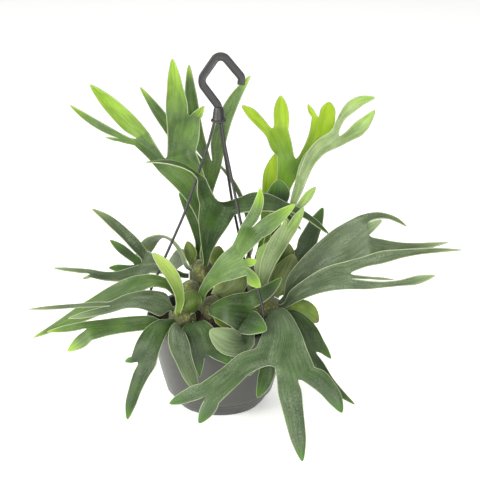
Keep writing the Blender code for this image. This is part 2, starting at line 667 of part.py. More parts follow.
def shield_fronds():
    """Short rounded fronds that clasp the crowns."""
    frond("shield_left", "crown_front_left", "shield_green",
          (8, 7, 9), (0.1, -0.6, 0.8), -0.20,
          lobe((2, -13, 22), (20, 24, 20, 0), bow=(0, 8, 3)), foot_width=8)
    frond("shield_front", "crown_centre", "shield_green",
          (2, 10, 1), (0.1, -0.35, 0.95), -0.05,
          lobe((13, 20, -8), (13, 16, 13, 0), bow=(0, 0, 2)), foot_width=8)
    frond("shield_centre", "crown_centre", "shield_papery",
          (2, -2, 10), (0.0, -0.85, 0.5), -0.20,
          lobe((24, -6, 34), (24, 38, 34, 0), bow=(3, 4, -2)), foot_width=12)
    frond("shield_right", "crown_right", "shield_papery",
          (5, -4, 10), (-0.2, -0.85, 0.4), -0.12,
          lobe((22, -12, 48), (24, 32, 30, 20, 0), bow=(2, 2, 0)), foot_width=12)
    frond("shield_right_low", "crown_right", "shield_green",
          (10, -1, -2), (0.1, -0.7, 0.7), -0.15,
          lobe((42, 12, -7), (16, 24, 27, 22, 0), bow=(0, 0, 10)), foot_width=7)
    frond("shield_back_right", "crown_back_right", "shield_green",
          (7, 3, 6), (0.0, -0.9, 0.4), -0.10,
          lobe((15, -4, 40), (20, 24, 20, 0), bow=(3, 0, 0)), foot_width=10)
    frond("shield_back", "crown_back", "shield_green",
          (9, 2, 8), (0.0, -0.8, 0.5), -0.10,
          lobe((6, -3, 26), (16, 18, 0)), foot_width=9)
    frond("shield_back_left", "crown_back", "shield_green",
          (-7, 0, 10), (0.0, -0.8, 0.5), -0.10,
          lobe((-6, -5, 26), (14, 13, 0)), foot_width=8)


def main():
    clear_scene()
    make_saucer()
    make_pot()
    make_root_ball()
    for name, crown in CROWNS.items():
        crown_body(name, crown, 0.0, "rhizome")
    make_hook()
    for name, angle in LEG_ANGLES.items():
        make_leg(name, angle)
    fronds_of_back_crown()
    fronds_of_back_right_crown()
    fronds_of_left_crown()
    fronds_of_front_left_crown()
    fronds_of_centre_crown()
    fronds_of_right_crown()
    shield_fronds()


main()
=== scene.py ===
import math
import bpy
import bmesh
from mathutils import Matrix, Vector, noise


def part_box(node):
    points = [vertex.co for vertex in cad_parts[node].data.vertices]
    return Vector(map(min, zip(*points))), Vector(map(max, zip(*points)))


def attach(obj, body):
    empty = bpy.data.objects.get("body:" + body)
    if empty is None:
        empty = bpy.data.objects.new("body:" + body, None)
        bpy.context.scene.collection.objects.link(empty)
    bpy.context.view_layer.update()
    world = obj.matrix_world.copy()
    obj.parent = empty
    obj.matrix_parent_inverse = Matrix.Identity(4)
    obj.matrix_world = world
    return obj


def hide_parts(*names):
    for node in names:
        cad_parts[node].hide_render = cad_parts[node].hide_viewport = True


# Staghorn fern in a hanging pot. Plans below are in millimetres, in the frame's axes.
mm = 0.001
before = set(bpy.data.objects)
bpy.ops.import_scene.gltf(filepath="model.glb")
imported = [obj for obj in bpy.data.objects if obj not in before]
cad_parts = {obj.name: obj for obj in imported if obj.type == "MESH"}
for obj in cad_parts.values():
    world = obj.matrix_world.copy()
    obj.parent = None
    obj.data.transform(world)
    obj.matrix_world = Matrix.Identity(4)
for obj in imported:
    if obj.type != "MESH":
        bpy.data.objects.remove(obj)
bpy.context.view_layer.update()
print("frame loaded,", len(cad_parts), "nodes")


def frameMm(node):
    low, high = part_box(node)
    return low / mm, high / mm


def link(piece, node, slotName, *materials):
    for m in materials:
        piece.data.materials.append(m)
    bpy.context.scene.collection.objects.link(piece)
    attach(piece, "root")
    if node:
        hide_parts(*([node] if isinstance(node, str) else node))
    return piece


def pieceFrom(bm, name):
    bmesh.ops.scale(bm, vec=(mm, mm, mm), verts=bm.verts)
    mesh = bpy.data.meshes.new(name)
    bm.to_mesh(mesh)
    bm.free()
    return bpy.data.objects.new(name, mesh)


def smooth(piece, angle=40):
    piece.data.shade_smooth()
    piece.data.set_sharp_from_angle(angle=math.radians(angle))
    return piece


# Shader helpers

def put(tree, kind, **values):
    made = tree.nodes.new(kind)
    for key, value in values.items():
        if hasattr(made, key):
            setattr(made, key, value)
    return made


def feed(tree, socket, value):
    if isinstance(value, bpy.types.NodeSocket):
        tree.links.new(value, socket)
    else:
        socket.default_value = value


def calc(tree, operation, a, b=0.0, clamp=False):
    made = put(tree, "ShaderNodeMath", operation=operation, use_clamp=clamp)
    feed(tree, made.inputs[0], a)
    feed(tree, made.inputs[1], b)
    return made.outputs[0]


def span(tree, value, low, high, toLow=0.0, toHigh=1.0):
    made = put(tree, "ShaderNodeMapRange", interpolation_type="SMOOTHSTEP")
    feed(tree, made.inputs["Value"], value)
    for key, number in (("From Min", low), ("From Max", high), ("To Min", toLow), ("To Max", toHigh)):
        feed(tree, made.inputs[key], number)
    return made.outputs["Result"]


def blendColor(tree, factor, a, b, mode="MIX"):
    made = put(tree, "ShaderNodeMix", data_type="RGBA", blend_type=mode)
    feed(tree, made.inputs[0], factor)
    feed(tree, made.inputs[6], a)
    feed(tree, made.inputs[7], b)
    return made.outputs[2]


def vector(tree, x, y, z):
    made = put(tree, "ShaderNodeCombineXYZ")
    for socket, value in zip(made.inputs, (x, y, z)):
        feed(tree, socket, value)
    return made.outputs[0]


def cloud(tree, where, scale, detail=2.0, roughness=0.5):
    made = put(tree, "ShaderNodeTexNoise")
    feed(tree, made.inputs["Vector"], where)
    made.inputs["Scale"].default_value = scale
    made.inputs["Detail"].default_value = detail
    made.inputs["Roughness"].default_value = roughness
    return made.outputs["Fac"]


def cells(tree, where, scale, feature="F1"):
    made = put(tree, "ShaderNodeTexVoronoi", feature=feature)
    feed(tree, made.inputs["Vector"], where)
    made.inputs["Scale"].default_value = scale
    return made.outputs["Distance"]


def attribute(tree, name):
    return put(tree, "ShaderNodeAttribute", attribute_name=name).outputs["Fac"]


def place(tree):
    return put(tree, "ShaderNodeTexCoord").outputs["Object"]


def group(name, inputs, outputs):
    tree = bpy.data.node_groups.new(name, "ShaderNodeTree")
    for label, kind, default in inputs:
        socket = tree.interface.new_socket(label, in_out="INPUT", socket_type="NodeSocket" + kind)
        socket.default_value = default
    for label, kind in outputs:
        tree.interface.new_socket(label, in_out="OUTPUT", socket_type="NodeSocket" + kind)
    return tree, tree.nodes.new("NodeGroupInput").outputs, tree.nodes.new("NodeGroupOutput").inputs


def principled(name, **values):
    made = bpy.data.materials.new(name)
    made.use_nodes = True
    tree = made.node_tree
    shader = tree.nodes["Principled BSDF"]
    for key, value in values.items():
        shader.inputs[key].default_value = value
    return made, tree, shader


def useGroup(tree, groupTree, values):
    made = tree.nodes.new("ShaderNodeGroup")
    made.node_tree = groupTree
    for key, value in values.items():
        made.inputs[key].default_value = value
    return made


def bump(tree, shader, height, strength, distance):
    made = put(tree, "ShaderNodeBump")
    made.inputs["Strength"].default_value = strength
    made.inputs["Distance"].default_value = distance
    tree.links.new(height, made.inputs["Height"])
    tree.links.new(made.outputs["Normal"], shader.inputs["Normal"])


# Leaf surface

def leafSkinGroup():
    tree, given, out = group("leafSkin", [
        ("Deep", "Color", (0.03, 0.07, 0.02, 1)), ("Fresh", "Color", (0.08, 0.18, 0.03, 1)),
        ("Tip", "Color", (0.3, 0.5, 0.04, 1)), ("Felt Color", "Color", (0.22, 0.28, 0.18, 1)),
        ("Felt And Sheen", "Float", 0.3), ("Vein", "Float", 0.3), ("Rim", "Float", 0.5)],
        [("Color", "Color"), ("Roughness", "Float"), ("Height", "Float")])
    turn, along = attribute(tree, "veinTurn"), attribute(tree, "along")
    youth, margin = attribute(tree, "youth"), attribute(tree, "margin")
    where = place(tree)

    def strokes(acrossScale, alongScale, detail, roughness):
        return cloud(tree, vector(tree, calc(tree, "MULTIPLY", turn, acrossScale),
                                  calc(tree, "MULTIPLY", along, alongScale), 0.0), 1.0, detail, roughness)

    fibre = strokes(0.8, 0.035, 2.0, 0.6)    # long parallel veins
    fleck = strokes(1.9, 0.42, 2.0, 0.65)    # short tufts of felt lying along them
    patch = strokes(0.10, 0.020, 3.0, 0.55)  # broad clouds of felt bloom and painted sheen, which also break up the tip colour
    broad = cloud(tree, where, 26.0, 3.0, 0.55)
    grain = cloud(tree, where, 1500.0, 2.0, 0.6)
    base = blendColor(tree, span(tree, broad, 0.36, 0.64), given["Deep"], given["Fresh"])
    tipMask = calc(tree, "MULTIPLY", span(tree, youth, 0.0, 1.0), span(tree, patch, 0.2, 0.6, 0.7, 1.0))
    base = blendColor(tree, tipMask, base, given["Tip"])
    # Pale patches: partly the felt's own grey-green and partly painted sheen standing in for the leaves'
    # satin highlights
    feltAndSheenMask = calc(tree, "MULTIPLY", span(tree, patch, 0.40, 0.64, 0.22, 1.0),
                    span(tree, fleck, 0.40, 0.62, 0.15, 1.0))
    feltAndSheenMask = calc(tree, "MULTIPLY", feltAndSheenMask, given["Felt And Sheen"])
    bare = calc(tree, "MULTIPLY", tipMask, 0.6)  # young tips carry less felt and less painted sheen
    feltAndSheenMask = calc(tree, "MULTIPLY", feltAndSheenMask, calc(tree, "SUBTRACT", 1.0, bare))
    base = blendColor(tree, feltAndSheenMask, base, given["Felt Color"])
    veins = calc(tree, "MULTIPLY", span(tree, fibre, 0.60, 0.38), given["Vein"])
    base = blendColor(tree, veins, base, blendColor(tree, 1.0, base, (0.42, 0.50, 0.42, 1), "MULTIPLY"))
    edge = calc(tree, "MULTIPLY", span(tree, margin, 0.95, 0.5), given["Rim"])
    base = blendColor(tree, edge, base, (0.40, 0.46, 0.28, 1))
    tree.links.new(base, out["Color"])
    rough = calc(tree, "ADD", 0.40, calc(tree, "MULTIPLY", feltAndSheenMask, 0.4))
    tree.links.new(calc(tree, "ADD", rough, calc(tree, "MULTIPLY", grain, 0.08)), out["Roughness"])
    rise = calc(tree, "ADD", calc(tree, "MULTIPLY", fibre, 0.9), calc(tree, "MULTIPLY", fleck, 0.35))
    tree.links.new(calc(tree, "ADD", rise, calc(tree, "MULTIPLY", grain, 0.10)), out["Height"])
    return tree


leafSkin = leafSkinGroup()
leafTones = {
    # The deep tone is partly the fronds' own dark green and partly painted shade for fronds that lie in
    # shade
    "deep": {"Deep": (0.012, 0.036, 0.003, 1), "Fresh": (0.032, 0.080, 0.006, 1),
             "Tip": (0.055, 0.150, 0.008, 1), "Felt And Sheen": 0.30, "Vein": 0.50},
    "green": {"Deep": (0.042, 0.092, 0.012, 1), "Fresh": (0.084, 0.168, 0.020, 1),
              "Tip": (0.250, 0.420, 0.020, 1), "Felt And Sheen": 0.42, "Vein": 0.50},
    "blue": {"Deep": (0.032, 0.064, 0.020, 1), "Fresh": (0.056, 0.104, 0.030, 1),
             "Tip": (0.050, 0.150, 0.010, 1), "Felt And Sheen": 0.55, "Vein": 0.50},
    "grey": {"Deep": (0.032, 0.056, 0.020, 1), "Fresh": (0.058, 0.092, 0.034, 1),
             "Tip": (0.200, 0.270, 0.120, 1), "Felt And Sheen": 0.68, "Vein": 0.60},
    # The lime tone is partly the young fronds' own lime and partly painted backlight glow shining through
    # the thin blades
    "lime": {"Deep": (0.070, 0.155, 0.006, 1), "Fresh": (0.120, 0.245, 0.008, 1),
             "Tip": (0.320, 0.480, 0.008, 1), "Felt And Sheen": 0.12, "Vein": 0.35},
    "young": {"Deep": (0.120, 0.200, 0.020, 1), "Fresh": (0.190, 0.300, 0.040, 1),
              "Tip": (0.330, 0.440, 0.080, 1), "Felt And Sheen": 0.30, "Vein": 0.40},
    "pale": {"Deep": (0.120, 0.190, 0.050, 1), "Fresh": (0.220, 0.300, 0.110, 1),
             "Tip": (0.240, 0.400, 0.050, 1), "Felt And Sheen": 0.62, "Vein": 0.50},
    "under": {"Deep": (0.080, 0.120, 0.045, 1), "Fresh": (0.130, 0.180, 0.085, 1),
              "Tip": (0.160, 0.260, 0.050, 1), "Felt And Sheen": 0.60, "Vein": 0.50},
    "shieldGreen": {"Deep": (0.060, 0.105, 0.008, 1), "Fresh": (0.150, 0.210, 0.020, 1),
                    "Tip": (0.160, 0.120, 0.040, 1), "Felt And Sheen": 0.30, "Vein": 0.45},
    "shieldFresh": {"Deep": (0.130, 0.210, 0.030, 1), "Fresh": (0.240, 0.350, 0.055, 1),
                    "Tip": (0.200, 0.130, 0.045, 1), "Felt And Sheen": 0.30, "Vein": 0.45},
    "shieldPapery": {"Deep": (0.110, 0.150, 0.035, 1), "Fresh": (0.200, 0.250, 0.080, 1),
                     "Tip": (0.280, 0.250, 0.100, 1), "Felt And Sheen": 0.45, "Vein": 0.60},
}
leafYoung = {"lime": 100.0, "pale": 50.0, "grey": 45.0, "young": 70.0, "shieldGreen": 5.0,
             "shieldFresh": 5.0, "shieldPapery": 8.0}


def leafMaterial(tone):
    sheen = 0.07 if tone in ("grey", "pale", "under", "blue") else 0.02
    made, tree, shader = principled("leaf" + tone[0].upper() + tone[1:], **{
        "Sheen Weight": sheen, "Sheen Roughness": 0.5, "Specular IOR Level": 0.32})
    values = dict(leafTones[tone])
    # The felt colour is the felt's own pale tint with painted sheen mixed in
    values["Felt Color"] = (0.34, 0.39, 0.28, 1) if tone in ("pale", "under") else (0.21, 0.255, 0.175, 1)
    skin = useGroup(tree, leafSkin, values)
    tree.links.new(skin.outputs["Color"], shader.inputs["Base Color"])
    tree.links.new(skin.outputs["Roughness"], shader.inputs["Roughness"])
    bump(tree, shader, skin.outputs["Height"], 0.45, 0.0006)
    return made


def rimMaterial():
    made, tree, shader = principled("leafFeltedRim", **{"Roughness": 0.8, "Sheen Weight": 0.2})
    tint = cloud(tree, place(tree), 160.0, 2.0)
    tree.links.new(blendColor(tree, tint, (0.22, 0.30, 0.10, 1), (0.40, 0.45, 0.28, 1)),
                   shader.inputs["Base Color"])
    return made


leafMaterials = {tone: leafMaterial(tone) for tone in leafTones}
leafRim = rimMaterial()
print("leaf materials made")


# Fronds

frondMake = {"rowStep": 4.5, "columnsPerTip": 4, "columnsPerFewTips": 6, "thickness": 1.2,
             "ripple": 0.8, "rippleSize": 26.0, "curl": 0.5, "curlSize": 9.0, "stillFoot": 30.0,
             "footWidth": 6.0, "footGap": 0.5, "neck": 4, "veinPitch": 1.5, "young": 22.0}


# reach and bow are mm to the right, to the front and up; widths stand at even steps, 0 for a tip;
# young is how far behind its tip a lobe keeps its young colour, in mm
def lobe(reach, widths, lobes=(), bow=(0, 0, 0), web=0.1, face=None, cup=None, young=None):
    return {"reach": reach, "widths": widths, "lobes": list(lobes), "bow": bow, "web": web,
            "face": face, "cup": cup, "young": young}


def inSpace(rightFrontUp):
    right, front, up = rightFrontUp
    return Vector((right, -front, up))


def countTips(blade):
    return sum(countTips(part) for part in blade["lobes"]) if blade["lobes"] else 1


def layOut(blade, start, face, cup):
    face = Vector(blade["face"] or face).normalized()
    cup = cup if blade["cup"] is None else blade["cup"]
    reach, bow, steps = inSpace(blade["reach"]), inSpace(blade["bow"]), len(blade["widths"])
    blade["face"], blade["cup"], blade["stations"], blade["notches"] = face, cup, [], []
    for i, width in enumerate(blade["widths"], 1):
        t = i / steps
        blade["stations"].append((start + reach * t + bow * 4 * t * (1 - t), width))
    if not blade["lobes"]:
        return
    end, width = blade["stations"][-1]
    ahead = (reach - bow * 4).normalized()
    across = face.cross(ahead).normalized() * width
    total, done = sum(part["widths"][0] for part in blade["lobes"]), 0.0
    for part in blade["lobes"]:  # the lobes share the end of the stretch by their widths
        share = part["widths"][0] / total
        layOut(part, end + across * (0.5 - done - share / 2), face, cup)
        done += share
        blade["notches"].append(end + across * (0.5 - done) + ahead * blade["web"] * width)
    blade["notches"].pop()


def bladeReach(blade, start):
    spots = [start] + [spot for spot, _ in blade["stations"]]
    own = sum((b - a).length for a, b in zip(spots, spots[1:]))
    return own + max([bladeReach(part, spots[-1]) for part in blade["lobes"]] or [0.0])


def widest(blade):
    return max(list(blade["widths"]) + [widest(part) for part in blade["lobes"]])


def marginsOf(blade, start):
    left, right = [], []
    centres = [spot for spot, _ in blade["stations"]]
    for i, centre in enumerate(centres):
        before = centres[i - 1] if i else start
        after = centres[i + 1] if i + 1 < len(centres) else centre
        across = blade["face"].cross(after - before).normalized() * (blade["stations"][i][1] / 2)
        left.append(centre + across)
        right.append(centre - across)
    return left, right


def slope(a, b, c):
    back, on = max((b - a).length, 1e-6), max((c - b).length, 1e-6)
    return ((b - a) / back * on + (c - b) / on * back) / (back + on)


def glide(points, i, t):
    a, b, c, d = points[i - 1:i + 3]
    length = (c - b).length
    lead, trail = slope(a, b, c) * length, slope(b, c, d) * length
    return ((2 * t**3 - 3 * t**2 + 1) * b + (t**3 - 2 * t**2 + t) * lead
            + (3 * t**2 - 2 * t**3) * c + (t**3 - t**2) * trail)


def ease(t):
    t = max(0.0, min(1.0, t))
    return t * t * (3 - 2 * t)


def extendRow(bm, row):
    edges = [bm.edges.get(pair) for pair in zip(row, row[1:])]
    made = bmesh.ops.extrude_edge_only(bm, edges=edges)["geom"]
    fresh = {v for v in made if isinstance(v, bmesh.types.BMVert)}
    ahead = []
    for v in row:
        ahead.append(next(e.other_vert(v) for e in v.link_edges if e.other_vert(v) in fresh))
    return ahead


def growStretch(bm, marks, blade, row, left0, right0, leads, travelled, plan):
    columns = len(row) - 1
    middle = (left0 + right0) / 2
    left, right = marginsOf(blade, middle)
    left, right = [leads[0], left0] + left, [leads[1], right0] + right
    parts = blade["lobes"]
    if parts:
        posts = [left[-1]] + blade["notches"] + [right[-1]]
        shares = [countTips(part) * plan["perTip"] for part in parts]
        parted = [posts[i].lerp(posts[i + 1], j / n) for i, n in enumerate(shares) for j in range(n)]
        parted.append(right[-1])
        left.append(left[-1] * 2 - left[-2])
        right.append(right[-1] * 2 - right[-2])
    else:
        left, right = left + [right[-2]], right + [left[-2]]
    last = len(left) - 3
    remaining = bladeReach(blade, middle)
    for i in range(1, last + 1):
        run = ((left[i + 1] - left[i]).length + (right[i + 1] - right[i]).length) / 2
        atTip = i == last and not parts
        rows = max(3 if atTip else 1, round(run / frondMake["rowStep"]))
        young = plan["young"] if blade["young"] is None else blade["young"]
        for r in range(1, rows + 1):
            t = r / rows
            edgeL, edgeR = glide(left, i, t), glide(right, i, t)
            centre = (edgeL + edgeR) / 2
            step = (centre - middle).length
            travelled, remaining = travelled + step, max(0.0, remaining - step)
            row = extendRow(bm, row)
            if atTip and r == rows:
                bmesh.ops.pointmerge(bm, verts=row, merge_co=centre)
                tip = next(v for v in row if v.is_valid)
                for name, value in (("along", travelled), ("youth", min(1.0, young)), ("margin", 0.0)):
                    tip[marks[name]] = value
                break
            width = (edgeR - edgeL).length
            normal = (edgeR - edgeL).cross(centre - middle).normalized()
            if normal.dot(blade["face"]) < 0:
                normal.negate()
            middle = centre
            done = (i - 1 + t) / last
            depth = blade["cup"] * width * ease(4 * done) * (ease(4 * (1 - done)) if parts else 1.0)
            for j, v in enumerate(row):
                u = j / columns
                spot = edgeL.lerp(edgeR, u) - normal * depth * 4 * u * (1 - u)
                if parts and i == last:
                    spot += (parted[j] - left[-2].lerp(right[-2], u)) * ease(t)
                sway = noise.noise(spot / frondMake["rippleSize"] + Vector((plan["seed"], 0, 0)))
                curl = noise.noise(spot / frondMake["curlSize"] + Vector((0, plan["seed"], 0)))
                curl *= (2 * u - 1) ** 4
                lift = sway * frondMake["ripple"] + curl * frondMake["curl"]
                lift *= ease(travelled / frondMake["stillFoot"])
                v.co = spot + normal * lift
                v[marks["along"]] = travelled
                v[marks["youth"]] = max(0.0, 1 - remaining / max(young, 0.01))
                v[marks["margin"]] = min(u, 1 - u) * width
    first = 0
    starts = [marginsOf(part, (posts[i] + posts[i + 1]) / 2) for i, part in enumerate(parts)]
    for i, part in enumerate(parts):
        leadL = left[-3] if i == 0 else starts[i - 1][1][0]
        leadR = right[-3] if i == len(parts) - 1 else starts[i + 1][0][0]
        growStretch(bm, marks, part, row[first:first + shares[i] + 1], posts[i], posts[i + 1],
                    (leadL, leadR), travelled, plan)
        first += shares[i]


def footOn(crown, away):
    low, high = frameMm(crown)
    centre, half = (low + high) / 2, (high - low) / 2
    reach = math.sqrt(sum((away[i] / half[i]) ** 2 for i in range(3)))
    spot = away / reach
    normal = Vector([spot[i] / half[i] ** 2 for i in range(3)]).normalized()
    return centre + spot + normal * frondMake["footGap"]


def growFrond(plan):
    blade = plan["blade"]
    away = inSpace(plan["spring"]).normalized()
    foot = footOn(plan["crown"], away)
    layOut(blade, foot, plan["face"], plan["cup"])
    target, footWidth = foot + away * frondMake["neck"], plan.get("foot", frondMake["footWidth"])
    blade["stations"].insert(0, (target, footWidth))
    across = blade["face"].cross(target - foot).normalized() * footWidth / 2
    tipCount = countTips(blade)
    plan["perTip"] = frondMake["columnsPerTip" if tipCount > 2 else "columnsPerFewTips"]
    plan["seed"] = sum(map(ord, plan["node"])) % 97
    plan["young"] = plan.get("young", leafYoung.get(plan["skin"], frondMake["young"]))
    columns = tipCount * plan["perTip"]
    bm = bmesh.new()
    marks = {name: bm.verts.layers.float.new(name) for name in ("along", "youth", "margin", "veinTurn")}
    row = [bm.verts.new((foot + across).lerp(foot - across, j / columns)) for j in range(columns + 1)]
    for pair in zip(row, row[1:]):
        bm.edges.new(pair)
    for j, v in enumerate(row):  # what a foot vertex holds is copied on by each extrusion
        v[marks["veinTurn"]] = j / columns * widest(blade) / frondMake["veinPitch"]
        v[marks["margin"]] = min(j, columns - j) / columns * across.length * 2
    growStretch(bm, marks, blade, row, foot + across, foot - across,
                (foot + across + foot - target, foot - across + foot - target), 0.0, plan)
    bmesh.ops.recalc_face_normals(bm, faces=bm.faces)
    if sum(f.normal.dot(blade["face"]) * f.calc_area() for f in bm.faces) < 0:
        bmesh.ops.reverse_faces(bm, faces=bm.faces)
    sheet = pieceFrom(bm, plan["node"] + "_blade")
    wall = sheet.modifiers.new("wall", "SOLIDIFY")
    wall.thickness = frondMake["thickness"] * mm
    wall.offset = 0.0
    wall.material_offset = 1
    wall.material_offset_rim = 2
    for m in (leafMaterials[plan["skin"]], leafMaterials["under"], leafRim):
        sheet.data.materials.append(m)
    bpy.context.scene.collection.objects.link(sheet)
    solid = bpy.data.meshes.new_from_object(sheet.evaluated_get(bpy.context.evaluated_depsgraph_get()))
    sheet.modifiers.clear()
    sheet.data = solid
    smooth(sheet, 50)
    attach(sheet, "root")
    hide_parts(plan["node"])
    return sheet


